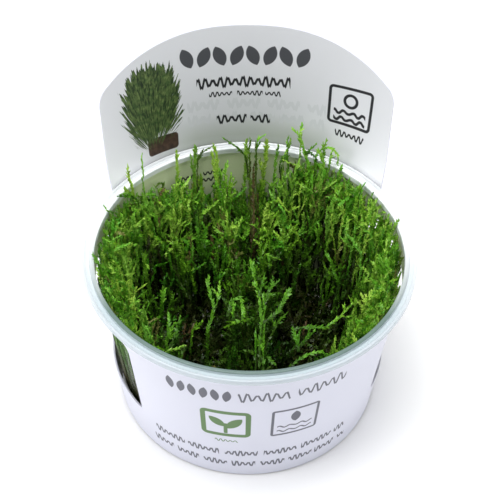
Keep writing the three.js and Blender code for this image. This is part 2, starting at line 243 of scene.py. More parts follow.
def parts_of(tree, place):
    """The X, Y and Z of a place."""
    node = add_node(tree, "ShaderNodeSeparateXYZ", inputs={0: place})
    return [Term(tree, socket) for socket in node.outputs]


def noise(tree, place, scale, detail, roughness=0.5, distortion=0.0):
    node = add_node(tree, "ShaderNodeTexNoise", inputs={
        "Vector": place, "Scale": scale, "Detail": detail, "Roughness": roughness, "Distortion": distortion})
    return Term(tree, node.outputs["Fac"])


def feed_all(tree, sockets, values):
    for name, value in values.items():
        feed(tree, sockets[name], value)


def mixed(tree, share, first, second, blend="MIX"):
    """One colour laid over another."""
    node = add_node(tree, "ShaderNodeMix", {"data_type": "RGBA", "blend_type": blend}, {0: share})
    feed(tree, node.inputs[6], first)
    feed(tree, node.inputs[7], second)
    return node.outputs[2]


def shader_group(name, inputs, outputs):
    """An empty shader node group: its tree, its inputs as terms by name, and its output node."""
    tree = bpy.data.node_groups.new(name, "ShaderNodeTree")
    for socket_name, kind, value in inputs:
        socket = tree.interface.new_socket(socket_name, in_out="INPUT", socket_type=kind)
        if value is not None:
            socket.default_value = value
    for socket_name, kind in outputs:
        tree.interface.new_socket(socket_name, in_out="OUTPUT", socket_type=kind)
    start = tree.nodes.new("NodeGroupInput")
    terms = {socket.name: Term(tree, socket) for socket in start.outputs if socket.name}
    return tree, terms, tree.nodes.new("NodeGroupOutput")


def use_group(tree, group, inputs):
    """A group placed in a tree with its own values."""
    return add_node(tree, "ShaderNodeGroup", {"node_tree": group}, inputs)


NUMBER = "NodeSocketFloat"
VECTOR = "NodeSocketVector"


def srgb(red, green, blue):
    """A colour given by its 0 to 255 display values."""
    def linear(value):
        share = value / 255
        return share / 12.92 if share <= 0.04045 else ((share + 0.055) / 1.055) ** 2.4
    return (linear(red), linear(green), linear(blue), 1)


def new_material(name, blotch_scale, speckle_scale):
    """A material with its tree, its surface's sockets, its object coordinates and its grain."""
    material = bpy.data.materials.new(name)
    material.use_nodes = True
    tree = material.node_tree
    place = tree.nodes.new("ShaderNodeTexCoord").outputs["Object"]
    grain = use_group(tree, FINE_GRAIN, {
        "Place": place, "Blotch Scale": blotch_scale, "Speckle Scale": speckle_scale}).outputs
    surface = tree.nodes["Principled BSDF"].inputs
    return material, tree, surface, place, Term(tree, grain["Blotch"]), Term(tree, grain["Speckle"])


def bump(tree, height, strength, distance):
    """The normal of a faintly raised grain; its distance is in millimetres."""
    return add_node(tree, "ShaderNodeBump", inputs={
        "Height": height, "Strength": strength, "Distance": distance * MM}).outputs[0]


# Shared surface effects


def grain_group():
    """Fine grain: a mask of soft blotches and the height of fine speckle."""
    tree, terms, out = shader_group(
        "fine_grain",
        [("Place", VECTOR, None), ("Blotch Scale", NUMBER, 60), ("Speckle Scale", NUMBER, 900)],
        [("Blotch", NUMBER), ("Speckle", NUMBER)],
    )
    feed_all(tree, out.inputs, {
        "Blotch": noise(tree, terms["Place"], terms["Blotch Scale"], 3.0),
        "Speckle": noise(tree, terms["Place"], terms["Speckle Scale"], 4.0, 0.7)})
    return tree


FINE_GRAIN = grain_group()


# Print on the card: each mark is a distance in millimetres turned into ink

INK_SOFTNESS = 0.14
FILLED = 100
UNBROKEN = 1000
# How far below its middle the bush's leaves fan out from, in half heights
FAN_FOOT = 1.3


def inked(distance):
    """Ink from 0 to 1 inside a shape whose edge is at distance 0."""
    return (0.5 - distance / INK_SOFTNESS).clamped()


def mark_group(name, sizes, outputs=("Ink",)):
    """An empty group for a mark on the card: its tree, its inputs in order, and its output's sockets."""
    sockets = [(size, NUMBER, value) for size, value in {"Across": 0, "Up": 0, **sizes}.items()]
    tree, terms, out = shader_group(name, sockets, [(output, NUMBER) for output in outputs])
    return tree, terms.values(), out.inputs


def leaf_mark_group():
    """A pointed leaf drawn from its foot."""
    tree, terms, out = mark_group("leaf_mark", {
        "Foot Across": 0, "Foot Up": 0, "Turn": 0, "Length": 6, "Width": 2})
    across, up, foot_across, foot_up, turn, length, width = terms
    dx = across - foot_across
    dy = up - foot_up
    cosine = turn.math("COSINE")
    sine = turn.math("SINE")
    half_length = length * 0.5
    half_width = width * 0.5
    along = dx * sine + dy * cosine - half_length
    aside = abs(dx * cosine - dy * sine)
    edge_radius = (half_length * half_length + half_width * half_width) / (half_width * 2.0)
    distance = length_of(along, aside + edge_radius - half_width) - edge_radius
    feed(tree, out["Ink"], inked(distance))
    return tree


def box_mark_group():
    """A box with round corners, filled or as a line."""
    tree, terms, out = mark_group("box_mark", {
        "Middle Across": 0, "Middle Up": 0, "Half Width": 1, "Half Height": 1, "Corner": 0.5, "Line": FILLED})
    across, up, middle_across, middle_up, half_width, half_height, corner, line = terms
    dx = abs(across - middle_across) - half_width + corner
    dy = abs(up - middle_up) - half_height + corner
    outside = length_of(larger(dx, 0.0), larger(dy, 0.0))
    distance = outside + larger(dx, dy).math("MINIMUM", 0.0) - corner
    half_line = line * 0.5
    feed(tree, out["Ink"], inked(abs(distance + half_line) - half_line))
    return tree


def leaf_row_group():
    """A row of leaves that lean to one side and the other in turn."""
    tree, terms, out = mark_group("leaf_row", {
        "Left": 0, "Right": 10, "Foot Up": 0, "Pitch": 5, "Length": 6, "Width": 2.5, "Lean": 0.4})
    across, up, left, right, foot_up, pitch, length, width, lean = terms
    steps = (across - left) / pitch
    count = steps.math("FLOOR")
    side = count.math("FLOORED_MODULO", 2.0) * 2.0 - 1.0
    leaf = use_group(tree, LEAF_MARK, {
        "Across": (steps - count - 0.5) * pitch, "Up": up, "Foot Across": side * lean * length * -0.45,
        "Foot Up": foot_up, "Turn": side * lean, "Length": length, "Width": width})
    feed(tree, out["Ink"], Term(tree, leaf.outputs["Ink"]) * between(across, left, right))
    return tree


def scribble_group():
    """A wavy line of even thickness, in stretches with gaps between them."""
    tree, terms, out = mark_group("scribble", {
        "Left": 0, "Right": 10, "Middle Up": 0, "Swing": 0.8, "Wave": 5, "Line": 0.6, "Stretch": UNBROKEN,
        "Gap": 0})
    across, up, left, right, middle_up, swing, wave, line, stretch, gap = terms
    along = across - left
    steps = along / stretch
    count = steps.math("FLOOR")
    chance = Term(tree, add_node(tree, "ShaderNodeTexWhiteNoise", {"noise_dimensions": "1D"},
                                 {"W": count + middle_up}).outputs["Value"])
    angle = along / wave * math.tau + chance * 3.0
    height = swing * (0.75 + (along * 0.9).math("SINE") * 0.25)
    slope = angle.math("COSINE") * height / wave * math.tau
    away = abs(up - middle_up - angle.math("SINE") * height)
    distance = away / (slope * slope + 1.0).math("SQRT") - line * 0.5
    shown = ((steps - count) * stretch).math("LESS_THAN", stretch - gap * (1.0 + chance))
    feed(tree, out["Ink"], inked(distance) * between(across, left, right) * shown)
    return tree


def bush_mark_group():
    """A clipped bush of fine leaves that fan out from below it, and how light each leaf is."""
    tree, terms, out = mark_group("bush_mark", {
        "Middle Across": 0, "Middle Up": 0, "Half Width": 10, "Half Height": 14}, ("Ink", "Light"))
    across, up, middle_across, middle_up, half_width, half_height = terms
    u = (across - middle_across) / half_width
    v = (up - middle_up) / half_height
    angle = u.math("ARCTAN2", v + FAN_FOOT)
    reach = length_of(u, v + FAN_FOOT)
    light = noise(tree, combined(tree, angle * 26.0, reach * 5.0), 1.0, 3.0, 0.6, 0.6)
    tips = noise(tree, combined(tree, angle * 27.0, reach * 1.2, 7.0), 1.0, 2.0, 0.6)
    edge = (length_of(u * u, v * v).math("SQRT") + length_of(u, v)) * 0.5 - 0.42 - tips
    feed_all(tree, out, {"Ink": inked(edge * 7.0), "Light": (light * 3.6 - 1.3).clamped()})
    return tree


LEAF_MARK = leaf_mark_group()
BUSH_MARK = bush_mark_group()
BOX_MARK = box_mark_group()
LEAF_ROW = leaf_row_group()
SCRIBBLE = scribble_group()

# The print map holds millimetres times PRINT_UNIT, with the tall back's face and the blank faces moved aside
PRINT_UNIT = 0.001
BACK_FACE_UP = 200
BLANK_UP = -200
INSIDE_UP = -400

INK_DARK = srgb(36, 36, 40)
INK_HEADING = srgb(72, 73, 78)
INK_GREY = srgb(92, 93, 104)
INK_GHOST = srgb(213, 215, 218)
INK_GREEN = srgb(88, 122, 70)
PICTURE_SHADE = srgb(26, 42, 22)
PICTURE_GREEN = srgb(62, 90, 44)
PICTURE_PALE = srgb(112, 132, 74)
PICTURE_EARTH = srgb(78, 58, 46)
PICTURE_DARK_EARTH = srgb(50, 36, 30)
# Painted light on the card: green light thrown back from the moss on the band's inside, and the moss's shade
# on the tall back's foot
CARD_INSIDE_PAINTED_MOSS_GREEN = srgb(223, 232, 192)
PAINTED_MOSS_SHADE_ON_CARD = (0.66, 0.69, 0.61, 1)


class Print:
    """The card's printed colour, built up mark by mark, with painted shade and painted green light from the
    moss laid over it.
    """

    def __init__(self, tree, back_card, front_card):
        self.tree = tree
        place = add_node(tree, "ShaderNodeUVMap", {"uv_map": "print_map"}).outputs[0]
        self.across, self.up = (part / PRINT_UNIT for part in parts_of(tree, place)[:2])
        self.mottle = (noise(tree, place, 700.0, 4.0) * 3.2 - 1.1).clamped()
        on_back = self.up.math("GREATER_THAN", BACK_FACE_UP / 2)
        self.lay(on_back, front_card, back_card)
        # Painted shade: the tall back is painted darker and greener low down in its middle, where the moss
        # before it shades it; the band's inside gets a stronger painted green, as light thrown back from the
        # moss
        above = self.up - float(BACK_FACE_UP)
        low_down = ((10.5 - above) / 8.0).clamped() * on_back
        in_middle = ((38.0 - abs(self.across)) / 22.0).clamped()
        self.lay(low_down * in_middle, self.colour,
                 mixed(tree, 1.0, self.colour, PAINTED_MOSS_SHADE_ON_CARD, "MULTIPLY"))
        # Painted green light from the moss on the band's inside
        inside = abs(self.up - (INSIDE_UP + CUP_HEIGHT / 2)).math("LESS_THAN", float(CUP_HEIGHT))
        self.lay(inside, self.colour, CARD_INSIDE_PAINTED_MOSS_GREEN)

    def lay(self, share, under, over):
        self.colour = mixed(self.tree, share, under, over)

    def mottled(self, darker, paler):
        return mixed(self.tree, self.mottle, darker, paler)

    def stamp(self, foot, marks):
        """Lays marks over what is printed already, their heights counted from a foot on the print map. A mark
        is its group, its ink, and its sizes in the order of the group's inputs."""
        up = self.up - float(foot)
        for group, ink, *sizes in marks:
            mark = use_group(self.tree, group, {"Across": self.across, "Up": up})
            for socket, size in zip(list(mark.inputs)[2:], sizes):
                socket.default_value = size
            if "Light" in mark.outputs:
                ink = mixed(self.tree, mark.outputs["Light"], PICTURE_SHADE, ink)
            self.lay(mark.outputs["Ink"], self.colour, ink)


def print_front(sheet):
    """The panel at the front of the cup."""
    sheet.stamp(0, [
        # A leaf border and a long scribble
        (LEAF_ROW, INK_GREY, -24, -3.8, 42.2, 3.36, 5.8, 2.5, 0.12),
        (SCRIBBLE, INK_GREY, -2.4, 30.6, 45, 2, 2.7, 0.66, 17, 1.4),
        # Green sign: a sprout of two leaves
        (BOX_MARK, INK_GREEN, -6.1, 30, 7.6, 7, 2, 1.6),
        (BOX_MARK, INK_GREEN, -6.1, 27.6, 0.6, 2.8, 0.4),
        (LEAF_MARK, INK_GREEN, -6.3, 28.6, -0.8, 6.6, 3.2),
        (LEAF_MARK, INK_GREEN, -5.9, 27.6, 0.7, 7.4, 3.4),
        (SCRIBBLE, INK_GREEN, -9.6, -2.4, 20.4, 0.6, 1.5, 0.36),
        # Grey sign: a drop over two ripples
        (BOX_MARK, INK_GREY, 14.9, 30, 7.4, 7, 1, 0.85),
        (LEAF_MARK, INK_GREY, 14.9, 29.8, 0, 5.4, 3),
        (SCRIBBLE, INK_GREY, 9.4, 20.4, 27.8, 0.5, 3.5, 0.6),
        (SCRIBBLE, INK_GREY, 9.4, 20.4, 25.4, 0.5, 3.5, 0.6),
        # Two rows of scribbles
        (SCRIBBLE, INK_GREY, -31.6, 35.4, 13.3, 1.1, 1.9, 0.74, 12.5, 1),
        (SCRIBBLE, INK_GREY, -33, 36.8, 7, 1.1, 1.9, 0.74, 9.5, 1),
    ])


def print_back(sheet):
    """The tall back's face, and the inside of the band seen through the cup's clear wall."""
    sheet.stamp(BACK_FACE_UP, [
        # Faint rows that show through from behind
        (SCRIBBLE, INK_GHOST, -19, 26, 14.6, 1, 2.6, 1.5, 13, 1.5),
        (SCRIBBLE, INK_GHOST, -19, 26, 9.4, 1, 2.6, 1.5, 10, 1.5),
        # A leaf border and scribbles
        (LEAF_ROW, INK_HEADING, -21.2, 20.4, 28.6, 5.2, 7.4, 4, 0.38),
        (SCRIBBLE, INK_DARK, -15.8, 14.2, 22.6, 1.4, 2.4, 0.9),
        (SCRIBBLE, INK_DARK, -11.8, 11.2, 18.3, 0.7, 1.5, 0.5, 9, 0.8),
        (SCRIBBLE, INK_DARK, -9.4, 8, 8.7, 1.2, 2.3, 0.8, 11, 1),
        # Leafy bush with a lump of earth at its foot
        (BOX_MARK, sheet.mottled(PICTURE_DARK_EARTH, PICTURE_EARTH), -27.8, 4.2, 5.4, 2.8, 1.2),
        (BUSH_MARK, sheet.mottled(PICTURE_GREEN, PICTURE_PALE), -30.8, 18.8, 10.4, 14),
        # Framed sign: a sun over two ripples
        (BOX_MARK, INK_DARK, 34, 18.1, 7.4, 6.6, 1.5, 0.95),
        (BOX_MARK, INK_DARK, 34, 20, 2.5, 2.5, 2.5, 0.95),
        (SCRIBBLE, INK_DARK, 28.6, 39.4, 15.9, 0.6, 3.3, 0.9),
        (SCRIBBLE, INK_DARK, 28.6, 39.4, 13.6, 0.6, 3.3, 0.9),
        (SCRIBBLE, INK_DARK, 29.6, 39.8, 8.6, 0.8, 1.7, 0.6),
    ])
    sheet.stamp(INSIDE_UP, [
        (SCRIBBLE, INK_DARK, -135, -118, 48, 0.8, 1.7, 0.55, 9, 1.5),
        (SCRIBBLE, INK_DARK, -135, -118, 45.4, 0.8, 1.7, 0.55, 12, 1.5),
        (SCRIBBLE, INK_DARK, -135, -118, 42.8, 0.8, 1.7, 0.55, 7, 1.5),
    ])


def printed_card():
    """White coated card with faint fibre grain and its print."""
    material, tree, surface, _, blotch, speckle = new_material("printed_card", 45, 1400)
    sheet = Print(tree, mixed(tree, blotch, srgb(218, 219, 223), srgb(226, 227, 231)),
                  mixed(tree, blotch, srgb(211, 212, 225), srgb(218, 219, 232)))
    print_front(sheet)
    print_back(sheet)
    feed_all(tree, surface, {
        "Base Color": sheet.colour, "Roughness": blotch * 0.16 + 0.34, "Specular IOR Level": 0.4,
        "Normal": bump(tree, speckle, 0.12, 0.02)})
    return material


# The painted shade at the front of the plastic: where it starts, and how far it takes to be full, in
# millimetres
FRONT_SHADE_START = 4.0
FRONT_SHADE_REACH = 30.0
MATT_AT_FRONT = 0.85
PLASTIC_IOR = 1.46


def plastic(name, see_through, dull, shine, alpha, darker, paler, front_painted_shade=None):
    """Moulded plastic with faint haze and ripple; at the front of the cup it can be matter and take a painted
    shade, a darker colour for the moss's shade.
    """
    material, tree, surface, place, blotch, speckle = new_material(name, 70, 260)
    colour = mixed(tree, blotch, darker, paler)
    # Painted shade: towards the cup's front the colour is mixed into a darker one
    if front_painted_shade:
        share = ((FRONT_SHADE_START - parts_of(tree, place)[1] / MM) / FRONT_SHADE_REACH).clamped()
        colour = mixed(tree, share, colour, front_painted_shade)
        shine = (1.0 - share * MATT_AT_FRONT) * shine
    feed_all(tree, surface, {
        "Base Color": colour, "Roughness": blotch * 0.08 + dull, "Alpha": alpha,
        "Transmission Weight": see_through, "Specular IOR Level": shine, "IOR": PLASTIC_IOR,
        "Normal": bump(tree, speckle, 0.05, 0.06)})
    return material


# Colours of the moss from its foot to its tips; the darker colours serve both for old stems and for painted
# shade
MOSS_COLOURS = [
    (0.0, (0.010, 0.018, 0.003)),
    (0.3, (0.020, 0.066, 0.005)),
    (0.6, (0.052, 0.205, 0.009)),
    (0.85, (0.130, 0.400, 0.024)),
    (1.0, (0.250, 0.520, 0.080)),
]
# Tint of a shoot from its coolest to its warmest, and the colour of dead straw
COOL_TINT = (0.68, 0.9, 0.62, 1)
WARM_TINT = (1.6, 1.18, 0.95, 1)
STRAW = (0.13, 0.085, 0.035, 1)


def moss_material(name, tint, shine):
    """Small wet leaves: darker and browner at the foot, bright at the tips, each shoot a little different;
    the dark foot is partly the old stems' own colour and partly painted shade.
    """
    material, tree, surface, _, blotch, speckle = new_material(name, 130, 1500)
    fresh, tone, straw, fleck = (
        Term(tree, add_node(tree, "ShaderNodeAttribute", {"attribute_name": field}).outputs["Fac"])
        for field in ("fresh", "tone", "straw", "fleck"))
    ramp = tree.nodes.new("ShaderNodeValToRGB")
    # The ramp is read by freshness and painted light and shade together, with random flecks
    feed(tree, ramp.inputs[0], fresh + (blotch - 0.5) * 0.3 + (speckle - 0.5) * 0.3 + (fleck - 0.6) * 0.22)
    marks = ramp.color_ramp.elements
    while len(marks) < len(MOSS_COLOURS):
        marks.new(0.5)
    for mark, (position, colour) in zip(marks, MOSS_COLOURS):
        mark.position = position
        mark.color = (*colour, 1)
    colour = mixed(tree, 1.0, ramp.outputs[0], mixed(tree, tone, COOL_TINT, WARM_TINT), "MULTIPLY")
    colour = mixed(tree, straw, colour, STRAW)
    feed_all(tree, surface, {
        "Base Color": mixed(tree, 1.0, colour, tint, "MULTIPLY"), "Roughness": speckle * 0.3 + 0.28,
        "Specular IOR Level": shine})
    return material


# Cup


def arc(middle_radius, middle_z, size, start, end, steps):
    """Points of a round stretch of a profile, its angles in degrees from straight outwards."""
    points = []
    for k in range(steps + 1):
        angle = math.radians(lerp(start, end, k / steps))
        points.append((middle_radius + size * math.cos(angle), middle_z + size * math.sin(angle)))
    return points


def cup_profile():
    """Radius and height pairs from the middle of the base outside, over the rim, to the middle inside."""
    skirt_inner = FLANGE_RADIUS - SKIRT_WALL
    skirt_foot = CUP_HEIGHT - SKIRT_DEPTH
    edge = 0.35
    ledge_z = CUP_HEIGHT - LEDGE_DROP
    floor_round = 2.2
    profile = [(0, 0), (14, 0), (27, 0), (36, 0), (BASE_RADIUS - FOOT_ROUND, 0)]
    profile += arc(BASE_RADIUS - FOOT_ROUND, FOOT_ROUND, FOOT_ROUND, -80, 0, 7)
    profile += [(cup_outer(z), z) for z in (6, 12, 20, 28, 36, 42, 48, 52)]
    profile += [(TOP_RADIUS, FLANGE_UNDER)]
    profile += [(skirt_inner - 0.3, FLANGE_UNDER), (skirt_inner, FLANGE_UNDER - 0.3)]
    profile += [(skirt_inner, skirt_foot + 0.15)]
    profile += arc(FLANGE_RADIUS - SKIRT_WALL / 2, skirt_foot + 0.4, SKIRT_WALL / 2, -180, 0, 8)[1:]
    profile += arc(FLANGE_RADIUS - edge, CUP_HEIGHT - edge, edge, 0, 90, 6)
    # The flange dips towards the lip, with a fine groove halfway
    profile += [(radius, CUP_HEIGHT - drop) for radius, drop in (
        (49.6, 0.02), (49.06, 0.26), (GROOVE_OUTER, 0.26 + GROOVE_DEPTH), (GROOVE_INNER, 0.33 + GROOVE_DEPTH),
        (48.84, 0.36), (48.05, 0.7), (47.75, 0.72))]
    lip_half = (LIP_OUTER - RIM_INNER) / 2
    for k in range(11):
        angle = math.pi * k / 10
        profile.append((RIM_INNER + lip_half * (1 + math.cos(angle)),
                        CUP_HEIGHT + LIP_RISE * math.sin(angle)))
    profile[-1] = (RIM_INNER, CUP_HEIGHT - 0.25)
    profile += [(cup_outer(z) - WALL, z) for z in (56.2, 55.4, 54, 52, 50)]
    profile += [(cup_outer(ledge_z) - WALL, ledge_z + 0.35), (cup_outer(ledge_z) - WALL - 0.1, ledge_z + 0.1),
                (cup_inner(ledge_z - 1), ledge_z - 0.3)]
    profile += [(cup_inner(z), z) for z in (46, 40, 32, 24, 16, 8)]
    profile += [(cup_inner(FLOOR + floor_round), FLOOR + floor_round)]
    wall_foot = cup_inner(FLOOR + floor_round) - floor_round
    profile += arc(wall_foot, FLOOR + floor_round, floor_round, -12, -84, 6)
    profile += [(34, FLOOR), (27, FLOOR), (26.6, FLOOR + 0.2), (26.2, FLOOR + 0.2), (25.8, FLOOR),
                (12, FLOOR), (0, FLOOR)]
    return profile


def turned_mesh(name, profile, segments):
    """A profile turned round the Z axis; its first and last points are on the axis."""
    points = [(0, 0, profile[0][1])]
    for radius, z in profile[1:-1]:
        for k in range(segments):
            points.append(polar(360 * k / segments, radius, z))
    points.append((0, 0, profile[-1][1]))
    last = len(points) - 1
    rings = len(profile) - 2
    faces = []
    for k in range(segments):
        after = (k + 1) % segments
        faces.append((0, 1 + after, 1 + k))
        for ring in range(rings - 1):
            low = 1 + ring * segments
            high = low + segments
            faces.append((low + k, low + after, high + after, high + k))
        low = 1 + (rings - 1) * segments
        faces.append((low + k, low + after, last))
    return mesh_object(name, points, faces)


def shade_smooth(item, angle):
    """Smooth shading that stays crisp past an angle in degrees."""
    item.data.shade_smooth()
    item.data.set_sharp_from_angle(angle=math.radians(angle))


def make_cup():
    """The cup: a clear wall and floor, a milky flange with a groove, and the lip round the opening."""
    cup = turned_mesh("clear_cup", cup_profile(), CUP_SEGMENTS)
    shade_smooth(cup, 50)
    milk = (srgb(238, 242, 244), srgb(244, 247, 249))
    # The third colour of the flange, the groove and the lip is painted shade at the cup's front
    for material in (
        plastic("clear_plastic", 1.0, 0.0, 0.2, 0.018, srgb(222, 238, 200), srgb(232, 244, 210)),
        plastic("milky_flange", 0.1, 0.14, 1.0, 0.7, *milk, srgb(209, 218, 223)),
        plastic("milky_groove", 0.1, 0.14, 1.0, 0.75, *milk, srgb(200, 214, 218)),
        plastic("milky_lip_painted_shade", 0.0, 0.1, 1.0, 0.9, srgb(236, 241, 243), milk[1], srgb(112, 131, 126)),
    ):
        cup.data.materials.append(material)
    for face in cup.data.polygons:
        middle = face.center / MM
        radius = math.hypot(middle.x, middle.y)
        if middle.z > CUP_HEIGHT - SKIRT_DEPTH - 1 and radius > LIP_OUTER:
            in_groove = middle.z > FLANGE_UNDER + 0.1 and radius < GROOVE_INNER
            face.material_index = 2 if in_groove else 1
        elif middle.z > CUP_HEIGHT - LIP_DEPTH:
            face.material_index = 3
    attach(cup, BODY)
    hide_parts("cup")


# Card sleeve


def card_sheet(rows, skip=lambda i, j: False, closed=False):
    """A sheet of card: rows of (inner point, outer point, inner place, outer place), where a place is its
    spot on the print map. skip(i, j) leaves out the cell of row i and column j."""
    columns = len(rows[0])
    count = len(rows) * columns
    points = [cell[0] for row in rows for cell in row] + [cell[1] for row in rows for cell in row]
    faces = []
    places = []

    def corner(i, j):
        return i * columns + j % columns

    def place(i, j, face):
        """A seam's last column keeps its own place, past the end of the row."""
        across, up = rows[i][j % columns][2 + face]
        return (across + (closed_length(i, face) if j >= columns else 0), up)

    def closed_length(i, face):
        step = rows[i][1][2 + face][0] - rows[i][0][2 + face][0]
        return rows[i][columns - 1][2 + face][0] - rows[i][0][2 + face][0] + step

    cells = columns if closed else columns - 1
    kept = {(i, j) for i in range(len(rows) - 1) for j in range(cells) if not skip(i, j)}
    for i, j in sorted(kept):
        ring = [(i, j), (i, j + 1), (i + 1, j + 1), (i + 1, j)]
        faces.append([count + corner(*c) for c in ring])
        places.append([place(*c, 1) for c in ring])
        faces.append([corner(*c) for c in reversed(ring)])
        places.append([place(*c, 0) for c in reversed(ring)])
        sides = [((i - 1, j), ring[0], ring[1]), ((i, j + 1), ring[1], ring[2]),
                 ((i + 1, j), ring[2], ring[3]), ((i, j - 1), ring[3], ring[0])]
        for (ni, nj), a, b in sides:
            neighbour = (ni, nj % cells if closed else nj)
            if neighbour not in kept:
                faces.append([corner(*a), corner(*b), count + corner(*b), count + corner(*a)])
                places.append([(0, BLANK_UP)] * 4)
    return points, faces, places


def window_edge(z):
    """How far a window's round corners reach in from its side at a height, in millimetres."""
    if z <= BAND_TOP:
        return WINDOW_FOOT_CORNER
    if z >= WINDOW_TOP:
        return WINDOW_CORNER
    reach = 0
    for corner, away in ((WINDOW_FOOT_CORNER, z - BAND_TOP), (WINDOW_CORNER, WINDOW_TOP - z)):
        reach += corner - math.sqrt(corner**2 - max(corner - away, 0) ** 2)
    return reach


def band_rows():
    """The band round the cup, its columns following the windows' sides, and the test for a window's cells."""
    top = FLANGE_UNDER - GAP
    back_left = 180 + BACK_TURN + BACK_HALF_ANGLE
    back_right = 180 + BACK_TURN - BACK_HALF_ANGLE
    # Stretches round the cup: from, to, columns, and whether a window's corners narrow or widen them
    stretches = [
        (PANEL_LEFT, PANEL_RIGHT, 56, -1),
        (PANEL_RIGHT, back_right, 30, 1),
        (back_right, back_left, 56, -1),
        (back_left, 360 + PANEL_LEFT, 34, 1),
    ]
    heights = [SLEEVE_FOOT, FOOT_ROUND, 5, 9, 13, BAND_TOP]
    heights += [BAND_TOP + WINDOW_FOOT_CORNER * (1 - math.cos(math.radians(a))) for a in (30, 60, 90)]
    heights += [22, 27, 32, 37, 41]
    heights += [WINDOW_TOP - WINDOW_CORNER * math.cos(math.radians(a)) for a in (0, 15, 30, 45, 60, 75, 90)]
    heights += [51, 53.5, top]
    rows = []
    window_columns = set()
    for z in heights:
        row = []
        inner = cup_outer(z) + GAP
        for number, (start, end, count, narrowing) in enumerate(stretches):
            reach = narrowing * math.degrees(window_edge(z) / inner)
            for k in range(count):
                azimuth = lerp(start + reach, end - reach, k / count)
                if narrowing > 0:
                    window_columns.add(len(row))
                across = math.radians(azimuth if azimuth < 180 else azimuth - 360) * (TOP_RADIUS - GAP - CARD)
                row.append((polar(azimuth, inner, z), polar(azimuth, inner + CARD, z),
                            (across, z + INSIDE_UP), (across, z if number == 0 else BLANK_UP)))
        rows.append(row)

    def in_window(i, j):
        return heights[i] >= BAND_TOP - 0.01 and heights[i + 1] <= WINDOW_TOP + 0.01 and j in window_columns

    return rows, in_window


def back_bend(z):
    """The tall back's bend at a height: its radius, and how far behind the axis its middle is."""
    root_radius = cup_outer(BACK_ROOT) + GAP + CARD
    clear_radius = FLANGE_RADIUS + GAP + 0.15
    clear_height = CUP_HEIGHT - SKIRT_DEPTH - GAP
    rise = max(z - CUP_HEIGHT, 0)
    lower = lerp(root_radius, clear_radius, clamp((z - BACK_ROOT) / (clear_height - BACK_ROOT)))
    radius = lerp(lower, BACK_TOP_BEND, rise / BACK_RISE)
    return radius, lower + rise * math.tan(math.radians(BACK_LEAN))


def back_half_width(z, radius):
    if z < CUP_HEIGHT:
        return math.radians(BACK_HALF_ANGLE) * radius
    rise = clamp((z - CUP_HEIGHT) / BACK_FLARE_HEIGHT)
    return BACK_HALF_WIDTH + BACK_FLARE * (1 - rise) ** 2


def back_top(share):
    """Height of the arched top edge, with its two rounded corners."""
    from_side = BACK_HALF_WIDTH * (1 - abs(share))
    in_corner = max(BACK_CORNER - from_side, 0)
    corner = BACK_CORNER - math.sqrt(BACK_CORNER**2 - in_corner**2)
    return CUP_HEIGHT + BACK_RISE - BACK_SHOULDER_DROP * abs(share) ** BACK_ARCH_POWER - corner


def back_rows():
    """The tall back, from its glued foot to its arched top."""
    half_columns = 36
    shares = []
    for k in range(-half_columns, half_columns + 1):
        shares.append(math.copysign(1 - (1 - abs(k) / half_columns) ** 1.3, k) if k else 0.0)
    low_heights = [BACK_ROOT, 39, 42, 45, 48, 51, CUP_HEIGHT - SKIRT_DEPTH - GAP, CUP_HEIGHT]
    upper_rows = 26
    turn = Matrix.Rotation(math.radians(BACK_TURN), 3, "Z")
    rows = []
    for i in range(len(low_heights) + upper_rows):
        row = []
        for share in shares:
            if i < len(low_heights):
                z = low_heights[i]
            else:
                z = lerp(CUP_HEIGHT, back_top(share), (i + 1 - len(low_heights)) / upper_rows)
            radius, middle = back_bend(z)
            across = share * back_half_width(z, radius)
            angle = across / radius
            cell = []
            for offset in (0, CARD):
                reach = radius + offset
                x = reach * math.sin(angle)
                y = middle - radius + reach * math.cos(angle)
                cell.append(turn @ Vector((x, y, z)))
            row.append((*cell, (across, z - CUP_HEIGHT + BACK_FACE_UP), (across, BLANK_UP)))
        rows.append(row)
    return [list(reversed(row)) for row in rows]


def make_sleeve(material):
    """The sleeve in one piece, its print map given face by face."""
    points = []
    faces = []
    places = []
    rows, in_window = band_rows()
    for part in (card_sheet(rows, in_window, closed=True), card_sheet(back_rows())):
        first = len(points)
        points += part[0]
        faces += [[first + corner for corner in face] for face in part[1]]
        places += part[2]
    used = sorted({corner for face in faces for corner in face})
    fresh_number = {old: new for new, old in enumerate(used)}
    sleeve = mesh_object("printed_sleeve", [points[k] for k in used],
                         [[fresh_number[c] for c in face] for face in faces])
    print_map = sleeve.data.uv_layers.new(name="print_map")
    flat = [value * PRINT_UNIT for face in places for place in face for value in place]
    print_map.data.foreach_set("uv", flat)
    shade_smooth(sleeve, 40)
    sleeve.data.materials.append(material)
    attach(sleeve, BODY)
    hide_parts("card_sleeve")


# Moss

# Height of the moss inside the ring at the wall, from the front to the back: y and height
MASS = [(-46, 46), (-32, 45), (-20, 45), (0, 44), (12, 43), (22, 45), (32, 49), (42, 53)]
# Height of the moss at the wall: azimuth and height
WALL_EDGE = [
    (0, 49), (30, 51), (55, 55.5), (90, 58), (114, 58), (130, 58), (142, 58), (152, 58), (163, 56),
    (170, 49.5), (175, 45), (187, 44), (191, 50), (199, 44), (207, 49.5), (214, 51.5), (225, 51),
    (234, 53.5), (244, 57), (254, 58), (270, 58), (305, 55.5), (330, 51), (360, 49),
]
